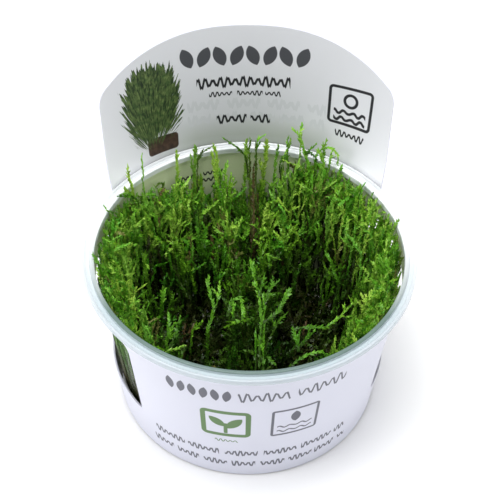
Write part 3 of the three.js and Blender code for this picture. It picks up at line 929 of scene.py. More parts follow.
# Single fronds that stand out: points from foot to tip, freshness with painted light and shade, how brown,
# and leaves low down
FEATURE_FRONDS = [
    # The bright frond that lies from the front edge over the middle, and its arms
    ([(3.4, -38, 48), (3.6, -26, 50), (3.7, -20.5, 50.8), (2.5, -10.5, 51), (0.1, 1.5, 51)], 0.68, 0, 1),
    ([(4.4, -37, 45), (4.6, -28, 48), (4.6, -20, 49.5), (4.4, -12, 50.5)], 0.62, 0, 1),
    ([(2.2, -38, 47), (2.4, -31, 49), (2.4, -26, 50)], 0.75, 0, 1),
    ([(4.6, -38, 47), (4.4, -32, 49), (4.6, -28, 50)], 0.75, 0, 1),
    ([(3.1, -14.5, 51), (4, -10, 52), (4.8, -6, 53)], 0.75, 0, 1),
    ([(4.6, -15.5, 50), (6.6, -10.2, 51.5), (9.1, -8.2, 52.5)], 0.62, 0, 1),
    ([(4.2, -22.5, 49.5), (8.8, -18.9, 50.5), (10.3, -15.3, 51.5), (11.7, -12.1, 53)], 0.65, 0, 1),
    ([(4.8, -31.6, 48), (8.1, -23.2, 49), (11.3, -19, 50)], 0.5, 0, 1),
    ([(3.5, -21, 50), (-0.5, -21.7, 49.5), (-3.5, -22.1, 49), (-5.9, -21.6, 48.5)], 0.6, 0, 0.5),
    ([(-4.1, -22, 49), (-4.3, -20.5, 51), (-4.1, -18.7, 52.5)], 0.75, 0, 1),
    ([(-5.9, -19, 48), (-5, -14, 49), (-2.9, -12.3, 49), (-1.4, -15.7, 49), (-1.8, -20, 47)], 0.6, 0, 0.3),
    # The long pale shoot at the front right, and the two by the edge
    ([(13.1, -21.7, 46), (17.8, -21.7, 47), (22.5, -22.7, 48.5), (26.4, -20.1, 50), (30.1, -16.9, 52)],
     0.95, 0, 1),
    ([(11.7, -37.7, 48), (16.1, -35.5, 50.5), (19.8, -34.4, 51.5)], 0.75, 0, 1),
    ([(15.1, -30, 48), (16.9, -28.2, 50), (19, -27.1, 51.5)], 0.7, 0, 1),
    ([(14.6, -31, 47), (14.2, -28.6, 49.5), (14.9, -27, 51.5)], 0.65, 0, 1),
    # Strands that hang in the hollow at the right, with painted shade
    ([(22.3, 4, 20), (23.1, 4, 37.3), (24.2, 4, 44.6)], 0.4, 0, 1),
    ([(27, 2, 20), (27.5, 3, 34), (29.5, 3, 44)], 0.35, 0, 1),
    ([(15, 12, 20), (14.5, 13, 34), (15.5, 13, 43)], 0.4, 0, 1),
    # Forked shoots at the front left
    ([(-12, -24, 26), (-11.9, -21, 42), (-10.2, -15.8, 47), (-11.2, -12.2, 49), (-12.5, -7.5, 51)],
     0.65, 0, 1),
    ([(-10.2, -15.8, 47), (-9, -12, 49), (-8.6, -8, 51)], 0.75, 0, 1),
    ([(-26, -13.5, 40), (-25.8, -13, 46), (-25.4, -12.6, 53)], 0.9, 0, 1),
    ([(-24.5, -13.5, 42), (-22.6, -13, 48), (-21.8, -12.4, 50)], 0.7, 0, 1),
    ([(-16.6, -27, 40), (-16.3, -25.5, 46), (-15, -24.2, 50.5)], 0.85, 0, 1),
    ([(-23.6, -27, 44), (-23, -24, 48), (-23.4, -20, 50)], 0.7, 0, 1),
    ([(-22.4, -28, 44), (-20.6, -25, 48), (-19.8, -21.4, 50)], 0.65, 0, 1),
    # The arch over the rim at the back left
    ([(-34.5, 20, 44), (-35.2, 22, 51.5), (-35.8, 22.5, 55.5), (-38.6, 22, 58.3), (-41, 20.4, 59)],
     0.75, 0.15, 1),
    ([(-35.8, 22.5, 55.5), (-39, 21.5, 57.4), (-41, 21, 57.8)], 0.8, 0, 0.5),
    # Twin dark stems at the back and the brown bundle round their foot
    ([(1, 28, 30), (0, 34, 40), (-0.6, 40, 52), (-0.8, 44, 62.6)], 0.6, 0.3, 0.35),
    ([(2, 27, 28), (2, 33, 38), (1.6, 39, 50), (1.3, 43.5, 62)], 0.6, 0.3, 0.35),
    ([(0.4, 26, 24), (0.2, 33, 37), (-0.4, 40, 49), (-0.5, 42, 55)], 0.4, 0.6, 0.5),
    ([(1.5, 26, 24), (1.2, 32, 36), (0.8, 39, 48), (0.8, 42, 54)], 0.4, 0.7, 0.5),
    ([(2.8, 26, 22), (2.7, 33, 35), (2.2, 38, 44)], 0.3, 0.7, 0.5),
    ([(0.6, 23, 22), (0.8, 30, 33), (1.2, 36, 42)], 0.3, 0.75, 0.6),
    # The plume at the back, left of them
    ([(-9, 33, 32), (-9, 37, 46), (-10.2, 39, 54)], 0.9, 0, 1),
    ([(-8.4, 33, 32), (-8.4, 37, 48), (-8.4, 38.5, 56.6)], 1, 0, 1),
    ([(-7.8, 33, 32), (-7, 37, 45), (-6.5, 39, 52)], 0.9, 0, 1),
    ([(-8.6, 32, 32), (-9.6, 36, 44), (-11.6, 38, 49)], 0.9, 0, 1),
    ([(-7.6, 32, 32), (-6.6, 36, 42), (-5.2, 37, 47)], 0.85, 0, 1),
    # Curved shoots over the rim at the back
    ([(1.5, 40, 48), (1.6, 43.5, 59.4), (2, 44, 63), (4, 44, 64.9)], 0.95, 0, 0.6),
    ([(19.5, 36, 44), (18.7, 39, 54.9), (16.9, 41.5, 60.4), (15.1, 42.5, 66.2), (12.8, 43, 68.2)], 1, 0, 0.7),
    ([(16.9, 41.5, 60.4), (19, 41.5, 60), (20.8, 41.3, 57.6), (21.7, 41, 53.6)], 0.85, 0, 0.6),
    ([(12.5, 38, 46), (11.8, 43, 57.5), (11.5, 44, 64.3)], 0.95, 0, 0.6),
    ([(17.5, 41, 57.6), (19, 42, 60.5), (20.6, 42.3, 62.4)], 0.9, 0, 0.6),
    ([(23.5, 37, 46), (22.9, 40, 54.5), (23.2, 40.5, 60.6), (22.7, 40.8, 64.9)], 1, 0, 0.7),
    ([(21.7, 39, 48), (20.5, 40, 57), (21.6, 40.2, 61.6), (24.6, 40.2, 63.4), (27.4, 39.6, 61), (28, 39, 55)],
     0.85, 0, 0.6),
    ([(9.6, 41, 48), (9.3, 42, 55), (10.8, 42.2, 58.2), (12.3, 42, 55.5)], 0.75, 0.1, 0.3),
    ([(-17.5, 36, 44), (-17.5, 39.5, 53.9), (-17, 40.5, 58.4), (-14.8, 41, 60.8), (-12.5, 41.4, 61.8)],
     0.6, 0.25, 0.4),
    ([(-0.8, 41, 48), (-2, 43.5, 56), (-5.1, 44.3, 59.2), (-9, 44.6, 62.4)], 0.75, 0.15, 0.3),
    # Tips at the sides
    ([(-40, 15, 46), (-43, 15.5, 54), (-45.2, 16, 58.2)], 1, 0, 1),
    ([(32, 26, 46), (33.5, 26.5, 54), (34.4, 27, 59)], 1, 0, 1),
    ([(36.4, 19, 46), (38, 19.5, 54), (39, 20, 60)], 1, 0, 1),
    ([(39.6, 12, 46), (41.5, 13, 54), (42.6, 14, 59)], 1, 0, 1),
    ([(40.4, 10, 46), (42, 11, 53), (43, 12, 57.6)], 1, 0, 1),
    # Dead bits
    ([(-12.6, 20, 30), (-12, 21, 36), (-12.4, 21.5, 41)], 0.3, 1, 1),
    ([(-19.6, 17, 30), (-19.4, 17, 34), (-19.2, 18, 37)], 0.3, 1, 1),
    ([(17, -10, 30), (17.6, -9, 33), (18.2, -9, 35)], 0.3, 1, 1),
]
# Dark hollows between the masses of shoots: middle x and y, half sizes and the height that is left
HOLLOWS = [
    (21, 2, 12.5, 24, 16),
    (-13.5, -9, 6.5, 26, 17),
    (-21, -6, 6, 14, 24),
    (-29.5, 0, 4, 16, 20),
    (0.5, 27, 3, 12, 28),
    (16, -24, 11, 10, 30),
]
HOLLOW_EDGE = (0.74, 1.15)
LEAD_PLACE_SEED = 11
UNDER_PLACE_SEED = 31
SHOOT_SEED = 23
WINDOW_SEED = 43
FILLER_SEED = 47
FEATURE_SEED = 61
RIM_FILLERS = 105
WINDOW_STEMS_A_DEGREE = 0.9
WINDOW_STEM_STEPS = 24
SHOOT_PITCH = 3.9
UNDER_PITCH = 3.3
TUFT_PITCH = 8.5
STEP = 1.7
# Room in millimetres between the cup's wall and the stems, tips and roots of the shoots
STEM_MARGIN = 0.9
TIP_MARGIN = 1.0
ROOT_MARGIN = 2
WALL_STEM_MARGIN = 0.7
SECOND_ROW_MARGIN = 2.6
WINDOW_STEM_MARGIN = 0.34
MAT_MARGIN = 1.2
CROOK = 0.2
CURL_SHARE = 0.18
FORK_SHARE = 0.5
FORK_HEIGHT = 0.9
DEAD_SHARE = 0.02


def scatter(key):
    """The same number between 0 and 1 for the same key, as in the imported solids."""
    wave = math.sin(key * 12.9898) * 43758.5453
    return wave - math.floor(wave)


def table_value(table, key):
    """Reads a table of pairs in rising order, with straight lines between its rows."""
    for (low_key, low), (high_key, high) in zip(table, table[1:]):
        if key < high_key:
            return lerp(low, high, clamp((key - low_key) / (high_key - low_key)))
    return table[-1][1]


def crest_height(x, y):
    """Height of the tallest shoots at a place seen from above."""
    azimuth = math.degrees(math.atan2(x, -y)) % 360
    radius = math.hypot(x, y)
    height = lerp(table_value(MASS, y), table_value(WALL_EDGE, azimuth), smooth((radius - 32) / 7))
    for middle_x, middle_y, half_x, half_y, left in HOLLOWS:
        away = math.hypot((x - middle_x) / half_x, (y - middle_y) / half_y)
        low, high = HOLLOW_EDGE
        height = min(height, lerp(left, height, smooth((away - low) / (high - low))))
    return height


class Strands:
    """Stems as rows of points, each point with what its leaves are like there."""

    FIELDS = ("girth", "leaf", "spread", "cover", "fresh", "tone", "twist", "straw")

    def __init__(self):
        self.points = []
        self.edges = []
        self.values = {name: [] for name in self.FIELDS}

    def add(self, path, fields):
        """One stem: its points, and a function from 0 at its foot to 1 at its tip to its values."""
        first = len(self.points)
        last = len(path) - 1
        for k, point in enumerate(path):
            self.points.append(point)
            for name, value in fields(k / last).items():
                self.values[name].append(value)
        self.edges += [(first + k, first + k + 1) for k in range(last)]

    def mesh(self, name):
        mesh = bpy.data.meshes.new(name)
        mesh.from_pydata([p * MM for p in self.points], self.edges, [])
        for field, values in self.values.items():
            mesh.attributes.new(field, "FLOAT", "POINT").data.foreach_set("value", values)
        return mesh


def inside_cup(point, margin):
    """A point kept inside the cup's wall, and close to it above the rim."""
    if point.z > CUP_HEIGHT - 1:
        limit = RIM_INNER - 0.9 + (point.z - CUP_HEIGHT + 1) * 0.3
    else:
        limit = cup_inner(point.z) - margin - 0.2 * smooth((point.z - 44) / 10)
    radius = math.hypot(point.x, point.y)
    if radius <= limit:
        return point
    return Vector((point.x * limit / radius, point.y * limit / radius, point.z))


def bowed_path(root, tip, bow, heading, wiggle, dice):
    """Points of a stem that leaves its root upright, bows sideways and wavers on its way, and ends
    along its heading."""
    height = (tip - root).length
    lower = root + Vector((0, 0, height * 0.4)) + bow * 0.6
    upper = tip - heading * (height * 0.2) + bow * 0.4
    count = max(int(height / STEP), 4)
    side = Vector((dice.uniform(-1, 1), dice.uniform(-1, 1), 0.1)).normalized()
    cross = Vector((-side.y, side.x, 0.1))
    slow = dice.uniform(0.6, 1.2)
    slow_start = dice.uniform(0, math.tau)
    quick = dice.uniform(2, 4)
    quick_start = dice.uniform(0, math.tau)
    points = []
    for k in range(count + 1):
        t = k / count
        s = 1 - t
        point = root * s**3 + lower * (3 * s * s * t) + upper * (3 * s * t * t) + tip * t**3
        away = math.sin(math.pi * min(t, 0.98)) * wiggle
        point = point + side * (away * math.sin(slow * t * math.tau + slow_start))
        point = point + cross * (away * 0.5 * math.sin(quick * t * math.tau + quick_start))
        if 0 < k < count:
            point = point + Vector((dice.uniform(-CROOK, CROOK), dice.uniform(-CROOK, CROOK), 0))
        points.append(inside_cup(point, STEM_MARGIN))
    return points


def direction_at(path, k):
    low = path[max(k - 1, 0)]
    high = path[min(k + 1, len(path) - 1)]
    return (high - low).normalized()


class Shoot:
    """What all the leaves of one shoot share."""

    def __init__(self, dice, fresh, lush, straw, brighten=0.9):
        self.brighten = brighten
        self.tone = dice.uniform(0, 1)
        self.twist = dice.uniform(0, math.tau)
        self.vigour = dice.uniform(0.85, 1.15)
        self.lush = lush
        self.straw = dice.uniform(0.5, 0.95) if dice.random() < DEAD_SHARE else dice.uniform(0, straw)
        self.tip_fresh = clamp(fresh + dice.uniform(-0.16, 0.08))

    def fields(self, t, start=0.0):
        """Values at a share t of a stem that leaves the shoot at a share start of its height."""
        tip = smooth((1 - t) / 0.06)
        high = lerp(start, 1, t)
        return {
            "girth": lerp(0.28, 0.14, high) * self.vigour,
            "leaf": lerp(0.85, 1.1, smooth(high / 0.5)) * lerp(0.7, 1, tip) * self.vigour,
            "spread": lerp(0.36, 0.7, tip),
            "cover": lerp(self.lush, 1, smooth((high - 0.2) / 0.35)),
            # Painted shade: the colour darkens towards the foot, partly the old stems' own colour; brighten
            # is the share of the height where full colour is reached, lower for shoots in the light
            "fresh": self.tip_fresh * lerp(0.15, 1, smooth(high / self.brighten)),
            "tone": self.tone,
            "twist": self.twist,
            "straw": self.straw,
        }


def curved_branch(start, heading, lift, reach):
    """Points of a side branch that leaves along its heading and turns upwards."""
    end = start + heading * reach + Vector((0, 0, reach * lift))
    middle = start + heading * (reach * 0.55)
    steps = max(int(reach / 1.5), 2)
    points = []
    for j in range(steps + 1):
        u = j / steps
        point = start * (1 - u) ** 2 + middle * (2 * u * (1 - u)) + end * u * u
        points.append(inside_cup(point, STEM_MARGIN))
    return points


def curled_end(path, plane, dice):
    """Points that carry a stem on in a curl."""
    way = direction_at(path, len(path) - 1)
    axis = way.cross(plane).normalized()
    turn = Matrix.Rotation(dice.choice((-1, 1)) * dice.uniform(0.3, 0.6), 3, axis)
    point = path[-1]
    points = []
    for _ in range(dice.randint(2, 4)):
        way = turn @ way
        point = point + way * 1.1
        points.append(inside_cup(point, STEM_MARGIN))
    return points


def small_fork(strands, shoot, path, plane, dice):
    """A short twig near the end of a stem."""
    k = max(len(path) - dice.randint(2, 4), 1)
    along = direction_at(path, k)
    angle = math.radians(dice.uniform(28, 60))
    way = along * math.cos(angle) + plane * (dice.choice((-1, 1)) * math.sin(angle))
    twig = curved_branch(path[k], way, dice.uniform(0, 0.5), dice.uniform(1.8, 3.8))
    strands.add(twig, lambda t: shoot.fields(t, FORK_HEIGHT))


def grow_shoot(strands, root, tip, dice, bow=1.0, arms=(1, 3), lush=0.4, straw=0.12, fresh=None, vigour=1.0):
    """A main stem and a few arms that leave it low and rise beside it, with forks and curls at the ends."""
    # Painted light and shade: shoots low down and at the front are given darker colours, shoots at the back
    # and the sides lighter ones
    if fresh is None:
        lit = max(smooth((tip.y + 30) / 60), smooth((abs(tip.x) - 16) / 14))
        fresh = lerp(0.2, 1.0, clamp((tip.z - 22) / 26)) * lerp(0.46, 1.14, lit)
    in_light = smooth((math.hypot(tip.x, tip.y) - 24) / 16) * smooth((tip.y + 26) / 22)
    shoot = Shoot(dice, fresh, lush, straw, lerp(0.95, 0.66, in_light))
    shoot.vigour *= vigour
    lean = Vector((dice.uniform(-1, 1), dice.uniform(-1, 1), 0)) * bow
    bend = dice.gauss(0, 0.3)
    facing = dice.uniform(0, math.tau)
    plane = Vector((math.cos(facing), math.sin(facing), 0))
    heading = (Vector((0, 0, math.cos(bend))) + plane * math.sin(bend)).normalized()
    path = bowed_path(root, tip, lean, heading, dice.uniform(0.3, 1.0), dice)
    by_rim = tip.z > CUP_HEIGHT - 3 and math.hypot(tip.x, tip.y) > RIM_INNER - 4.5
    if dice.random() < CURL_SHARE and not by_rim:
        path += curled_end(path, plane, dice)
    strands.add(path, shoot.fields)
    if dice.random() < FORK_SHARE and not by_rim:
        small_fork(strands, shoot, path, plane, dice)
    side = dice.choice((-1, 1))
    for _ in range(dice.randint(*arms)):
        start = dice.uniform(0.4, 0.8)
        k = int(start * (len(path) - 1))
        out = plane * side + Vector((-plane.y, plane.x, 0)) * dice.uniform(-0.6, 0.6)
        drop = (tip.z - path[k].z) * dice.uniform(0.05, 0.6)
        end = path[k].lerp(tip, 0.5) + out * dice.uniform(1.4, 3.4)
        end.z = tip.z - drop
        end = inside_cup(end, STEM_MARGIN)
        arm = bowed_path(path[k], end, out * 0.8, Vector((0, 0, 1)), 0.3, dice)
        if dice.random() < CURL_SHARE and not by_rim:
            arm += curled_end(arm, plane, dice)
        strands.add(arm, lambda t, start=start: shoot.fields(t, start))
        if dice.random() < FORK_SHARE and not by_rim:
            small_fork(strands, shoot, arm, plane, dice)
        side = -side


def tuft_middle(x, y):
    """Middle of the tuft that a place belongs to, on a wavering grid."""
    column = math.floor(x / TUFT_PITCH)
    row = math.floor(y / TUFT_PITCH)
    best = None
    for i in (column - 1, column, column + 1):
        for j in (row - 1, row, row + 1):
            key = i * 57.31 + j * 131.7
            middle = ((i + 0.15 + 0.7 * scatter(key)) * TUFT_PITCH,
                      (j + 0.15 + 0.7 * scatter(key + 1)) * TUFT_PITCH)
            away = math.hypot(middle[0] - x, middle[1] - y)
            if best is None or away < best[0]:
                best = (away, middle, key)
    return best[1], scatter(best[2] + 2)


def even_places(pitch, dice):
    """Places seen from above, spread evenly over the cup."""
    limit = RIM_INNER - 1.2
    shake = pitch * 0.4
    row_pitch = pitch * 0.866
    places = []
    rows = int(limit / row_pitch) + 1
    columns = int(limit / pitch) + 2
    for j in range(-rows, rows + 1):
        for i in range(-columns, columns + 1):
            x = (i + (j % 2) * 0.5) * pitch + dice.uniform(-shake, shake)
            y = j * row_pitch + dice.uniform(-shake, shake)
            if math.hypot(x, y) < limit:
                places.append((x, y))
    return places


def cell_of(x, y):
    """Ring number and clump number of a place."""
    radius = math.hypot(x, y)
    azimuth = math.degrees(math.atan2(x, -y)) % 360
    ring = 0 if radius > WALL_RING_INNER else 1 if radius > MIDDLE_RING_INNER else 2
    count = len(CRESTS[ring])
    return ring, int(round(azimuth / 360 * count)) % count


def lead_tips(ring, number):
    """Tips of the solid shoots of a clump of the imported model, worked out in the same way."""
    crests = CRESTS[ring]
    inner = (WALL_RING_INNER, MIDDLE_RING_INNER, INNER_RING_INNER)[ring]
    outer = (TOP_RADIUS - SOLID_WALL, WALL_RING_INNER, MIDDLE_RING_INNER)[ring]
    half = 180 / len(crests)
    middle = number * 360 / len(crests)
    key = 100 * (ring + 1) + number
    rise = crests[number] - MAT_TOP
    tips = []
    for k in range(round(lerp(3, 5, clamp(rise / (CUP_HEIGHT - MAT_TOP))))):
        seed = key * 11 + k * 3
        side = (-0.36, 0.36, 0, -0.2, 0.22)[k] + 0.12 * (scatter(seed + 1) - 0.5)
        depth = (0.3, 0.34, 0.72, 0.8, 0.62)[k] + 0.2 * (scatter(seed + 2) - 0.5)
        height = MAT_TOP + rise * lerp(0.72, 1, scatter(seed + 5))
        tip = polar(middle + 2 * half * side, lerp(inner, outer, depth), height)
        tips.append(inside_cup(tip, TIP_MARGIN))
    return tips


def moss_fronds_tree():
    """Geometry nodes that dress rows of points as mossy stems: a thin stem with leaves along it."""
    tree = bpy.data.node_groups.new("moss_fronds", "GeometryNodeTree")
    for name, kind, value in (
        ("Stems", "NodeSocketGeometry", None),
        ("Leaf Spacing", NUMBER, 0.45 * MM),
        ("Leaf Width", NUMBER, 0.46),
        ("Leaf Thickness", NUMBER, 0.2),
        ("Seed", "NodeSocketInt", 1),
        ("Material", "NodeSocketMaterial", None),
    ):
        socket = tree.interface.new_socket(name, in_out="INPUT", socket_type=kind)
        if value is not None:
            socket.default_value = value
    tree.interface.new_socket("Moss", in_out="OUTPUT", socket_type="NodeSocketGeometry")
    start = tree.nodes.new("NodeGroupInput").outputs
    out = tree.nodes.new("NodeGroupOutput")

    def field(name):
        return add_node(tree, "GeometryNodeInputNamedAttribute", {"data_type": "FLOAT"},
                        {"Name": name}).outputs["Attribute"]

    def chance(low, high, shift):
        node = add_node(tree, "FunctionNodeRandomValue", {"data_type": "FLOAT"})
        feed(tree, node.inputs[2], low)
        feed(tree, node.inputs[3], high)
        feed(tree, node.inputs["Seed"], Term(tree, start["Seed"]) + shift)
        return Term(tree, node.outputs[1])

    curves = add_node(tree, "GeometryNodeMeshToCurve", inputs={"Mesh": start["Stems"]}).outputs[0]
    ring = add_node(tree, "GeometryNodeCurvePrimitiveCircle", inputs={"Resolution": 3, "Radius": 1.0})
    stems = add_node(tree, "GeometryNodeCurveToMesh", inputs={
        "Curve": curves, "Profile Curve": ring.outputs[0], "Scale": Term(tree, field("girth")) * MM,
        "Fill Caps": True}).outputs[0]

    points = add_node(tree, "GeometryNodeCurveToPoints", {"mode": "LENGTH"}, {
        "Curve": curves, "Length": start["Leaf Spacing"]})
    number = Term(tree, tree.nodes.new("GeometryNodeInputIndex").outputs[0])
    two_rows = number.math("FLOORED_MODULO", 2.0) * math.pi
    roll = two_rows + Term(tree, field("twist")) + chance(-0.75, 0.75, 1)
    pitch = Term(tree, field("spread")) * chance(0.75, 1.25, 2)
    own_turn = chance(-0.6, 0.6, 3)

    def turned(rotation, axis, angle):
        euler = combined(tree, *(angle if name == axis else 0.0 for name in "XYZ"))
        turn = add_node(tree, "FunctionNodeEulerToRotation", inputs={0: euler})
        return add_node(tree, "FunctionNodeRotateRotation", {"rotation_space": "LOCAL"}, {
            0: rotation, 1: turn.outputs[0]}).outputs[0]

    rotation = turned(points.outputs["Rotation"], "Z", roll)
    rotation = turned(rotation, "X", pitch)
    rotation = turned(rotation, "Z", own_turn)
    size = Term(tree, field("leaf")) * chance(0.75, 1.2, 4) * MM
    scale = combined(tree, size * start["Leaf Thickness"], size * start["Leaf Width"], size)
    shown = chance(0.0, 1.0, 5).math("LESS_THAN", field("cover"))
    blade = add_node(tree, "GeometryNodeMeshCone", {"fill_type": "NGON"}, {
        "Vertices": 3, "Radius Bottom": 1.0, "Depth": 1.0}).outputs[0]
    flecked = add_node(tree, "GeometryNodeStoreNamedAttribute", {"data_type": "FLOAT", "domain": "POINT"}, {
        "Geometry": points.outputs["Points"], "Name": "fleck", "Value": chance(0.2, 1.0, 6)}).outputs[0]
    leaves = add_node(tree, "GeometryNodeInstanceOnPoints", inputs={
        "Points": flecked, "Selection": shown, "Instance": blade, "Rotation": rotation,
        "Scale": scale}).outputs[0]

    joined = tree.nodes.new("GeometryNodeJoinGeometry")
    feed(tree, joined.inputs[0], stems)
    feed(tree, joined.inputs[0], leaves)
    whole = add_node(tree, "GeometryNodeRealizeInstances", inputs={0: joined.outputs[0]}).outputs[0]
    flat = add_node(tree, "GeometryNodeSetShadeSmooth", inputs={0: whole, "Shade Smooth": False}).outputs[0]
    dressed = add_node(tree, "GeometryNodeSetMaterial", inputs={0: flat, "Material": start["Material"]})
    feed(tree, out.inputs[0], dressed.outputs[0])
    return tree


def dressed_moss(name, strands, tree, material, seed, spacing):
    """A plain mesh object of mossy stems grown by the geometry nodes."""
    carrier = bpy.data.objects.new(name + "_stems", strands.mesh(name + "_stems"))
    bpy.context.scene.collection.objects.link(carrier)
    modifier = carrier.modifiers.new("moss_fronds", "NODES")
    modifier.node_group = tree
    sockets = {item.name: item.identifier for item in tree.interface.items_tree if item.in_out == "INPUT"}
    modifier[sockets["Seed"]] = seed
    modifier[sockets["Leaf Spacing"]] = spacing * MM
    modifier[sockets["Material"]] = material
    depsgraph = bpy.context.evaluated_depsgraph_get()
    mesh = bpy.data.meshes.new_from_object(carrier.evaluated_get(depsgraph))
    mesh.name = name
    carrier.modifiers.clear()
    bpy.data.objects.remove(carrier)
    for attribute in list(mesh.attributes):
        if attribute.name in ("girth", "leaf", "spread", "cover", "twist"):
            mesh.attributes.remove(attribute)
    piece = bpy.data.objects.new(name, mesh)
    bpy.context.scene.collection.objects.link(piece)
    return piece


WALL_STEMS = 220


def grow_wall_stems(clumps, dice):
    """Stems that climb pressed against the clear wall, seen through the sleeve's side openings and from
    above, with a second row behind them at the sides."""
    for k in range(WALL_STEMS):
        azimuth = 360 * (k + dice.uniform(-0.3, 0.3)) / WALL_STEMS
        at_side = abs(abs((azimuth - 180) / 90) - 1) < 0.5
        for margin in (WALL_STEM_MARGIN, SECOND_ROW_MARGIN)[:2 if at_side else 1]:
            height = table_value(WALL_EDGE, azimuth % 360) * dice.uniform(0.84, 1)
            tip = inside_cup(polar(azimuth + dice.uniform(-2, 2), BASE_RADIUS + 4, height), margin)
            root = inside_cup(polar(azimuth, BASE_RADIUS + 4, 12 if at_side else 24), margin)
            # Painted shade: the wall stems are given darker colours towards the front
            grow_shoot(clumps[cell_of(tip.x, tip.y)], root, tip, dice, bow=1.2, arms=(0, 1), lush=0.8,
                       straw=0.5, fresh=lerp(0.45, 0.8, smooth((tip.y + 42) / 24)))


def grow_window_stems(clumps, dice):
    """Smooth old stems right behind the wall, side by side in the sleeve's side openings."""
    for start, end in (
        (PANEL_RIGHT, 180 + BACK_TURN - BACK_HALF_ANGLE),
        (180 + BACK_TURN + BACK_HALF_ANGLE, 360 + PANEL_LEFT),
    ):
        count = int((end - start) * WINDOW_STEMS_A_DEGREE)
        for k in range(count):
            azimuth = lerp(start, end, (k + dice.uniform(0.1, 0.9)) / count)
            path = []
            sway = dice.uniform(-3, 3)
            top = dice.uniform(44, 54)
            for j in range(WINDOW_STEM_STEPS + 1):
                t = j / WINDOW_STEM_STEPS
                z = lerp(11, top, t)
                path.append(polar(azimuth + sway * t + dice.uniform(-0.15, 0.15),
                                  cup_inner(z) - WINDOW_STEM_MARGIN, z))
            shoot = Shoot(dice, dice.uniform(0.6, 1.0), 0.5, 0.45)
            middle = path[WINDOW_STEM_STEPS // 2]
            strands = clumps[cell_of(middle.x, middle.y)]
            strands.add(path, lambda t: {**shoot.fields(t), "leaf": 0.62, "spread": 0.2, "girth": 0.3})


def grow_rim_fillers(clumps, dice):
    """Short shoots that fill the moss up to the rim at the sides and the corners at the back."""
    for start, end in ((50, 160), (200, 310)):
        for k in range(RIM_FILLERS):
            azimuth = lerp(start, end, (k + dice.random()) / RIM_FILLERS)
            height = table_value(WALL_EDGE, azimuth) + dice.uniform(-5, 1.5)
            tip = polar(azimuth, dice.uniform(41, 45), height)
            root = polar(azimuth + dice.uniform(-5, 5), dice.uniform(36, 39), 28)
            grow_shoot(clumps[cell_of(tip.x, tip.y)], root, inside_cup(tip, TIP_MARGIN), dice,
                       fresh=dice.uniform(0.75, 1))


def through(points):
    """A stem's path through a few points, evenly stepped along a smooth curve."""
    points = [Vector(p) for p in points]
    ends = [points[0] * 2 - points[1], *points, points[-1] * 2 - points[-2]]
    path = [points[0]]
    for a, b, c, d in zip(ends, ends[1:], ends[2:], ends[3:]):
        steps = max(int((c - b).length / STEP), 1)
        for k in range(1, steps + 1):
            t = k / steps
            path.append((b * 2 + (c - a) * t + (a * 2 - b * 5 + c * 4 - d) * t**2
                         + (b * 3 - a - c * 3 + d) * t**3) * 0.5)
    return path


def grow_feature_fronds(clumps, dice):
    """The single fronds that stand out in the photograph."""
    for points, fresh, straw, lush in FEATURE_FRONDS:
        path = through(points)
        for k in range(1, len(path)):
            path[k] += Vector((dice.uniform(-1, 1), dice.uniform(-1, 1), dice.uniform(-1, 1))) * CROOK
        shoot = Shoot(dice, fresh, lush, 0)
        shoot.tone = dice.uniform(0.45, 1)
        shoot.straw = straw
        shoot.vigour = dice.uniform(1.0, 1.2)
        middle = path[len(path) // 2]
        strands = clumps[cell_of(middle.x, middle.y)]
        strands.add(path, lambda t: shoot.fields(t, 0.35))
        facing = dice.uniform(0, math.tau)
        plane = Vector((math.cos(facing), math.sin(facing), 0))
        if straw < 0.3:
            small_fork(strands, shoot, path, plane, dice)


def grow_lead_shoots(clumps, dice):
    """Tall shoots, gathered a little into tufts, that stand apart from each other."""
    for x, y in even_places(SHOOT_PITCH, random.Random(LEAD_PLACE_SEED)):
        if dice.random() > lerp(0.8, 1, smooth((y + 28) / 26)):
            continue
        (tuft_x, tuft_y), tuft_height = tuft_middle(x, y)
        by_wall = smooth((math.hypot(x, y) - 36) / 6)
        pull = lerp(0.2, 0.04, by_wall)
        tip_x = lerp(x, tuft_x, pull)
        tip_y = lerp(y, tuft_y, pull)
        share = lerp(0.85, 1.05, tuft_height) * lerp(1.0, 0.7, dice.random() ** 1.3)
        share = lerp(share, lerp(1.0, 0.75, dice.random()), by_wall * 0.7)
        rise = (crest_height(tip_x, tip_y) - MAT_TOP) * share
        tip = inside_cup(Vector((tip_x, tip_y, MAT_TOP + rise)), TIP_MARGIN)
        root = Vector((lerp(tip.x, tuft_x, 0.4) * 0.95, lerp(tip.y, tuft_y, 0.4) * 0.95, dice.uniform(6, 11)))
        grow_shoot(clumps[cell_of(x, y)], inside_cup(root, ROOT_MARGIN), tip, dice)


def grow_understory(clumps, dice):
    """Shorter shoots that fill the gaps between the tall ones, painted dimmer as shade, and darker still in
    the hollows.
    """
    for x, y in even_places(UNDER_PITCH, random.Random(UNDER_PLACE_SEED)):
        crest = crest_height(x, y)
        rise = (crest - MAT_TOP) * dice.uniform(0.4, 0.8)
        tip = inside_cup(Vector((x, y, MAT_TOP + rise)), TIP_MARGIN + 0.5)
        root = inside_cup(Vector((x * 0.96, y * 0.96, dice.uniform(6, 11))), ROOT_MARGIN)
        # Painted shade: dim colours, darker still where the crest is low
        grow_shoot(clumps[cell_of(x, y)], root, tip, dice, arms=(0, 1), straw=0.2,
                   fresh=dice.uniform(0.2, 0.6) * lerp(0.3, 1, clamp((crest - 18) / 22)))


LEAF_SPACING = 0.52
MAT_LEAF_SPACING = 0.6
RING_NAMES = ("moss_wall_clump", "moss_middle_clump", "moss_inner_clump")


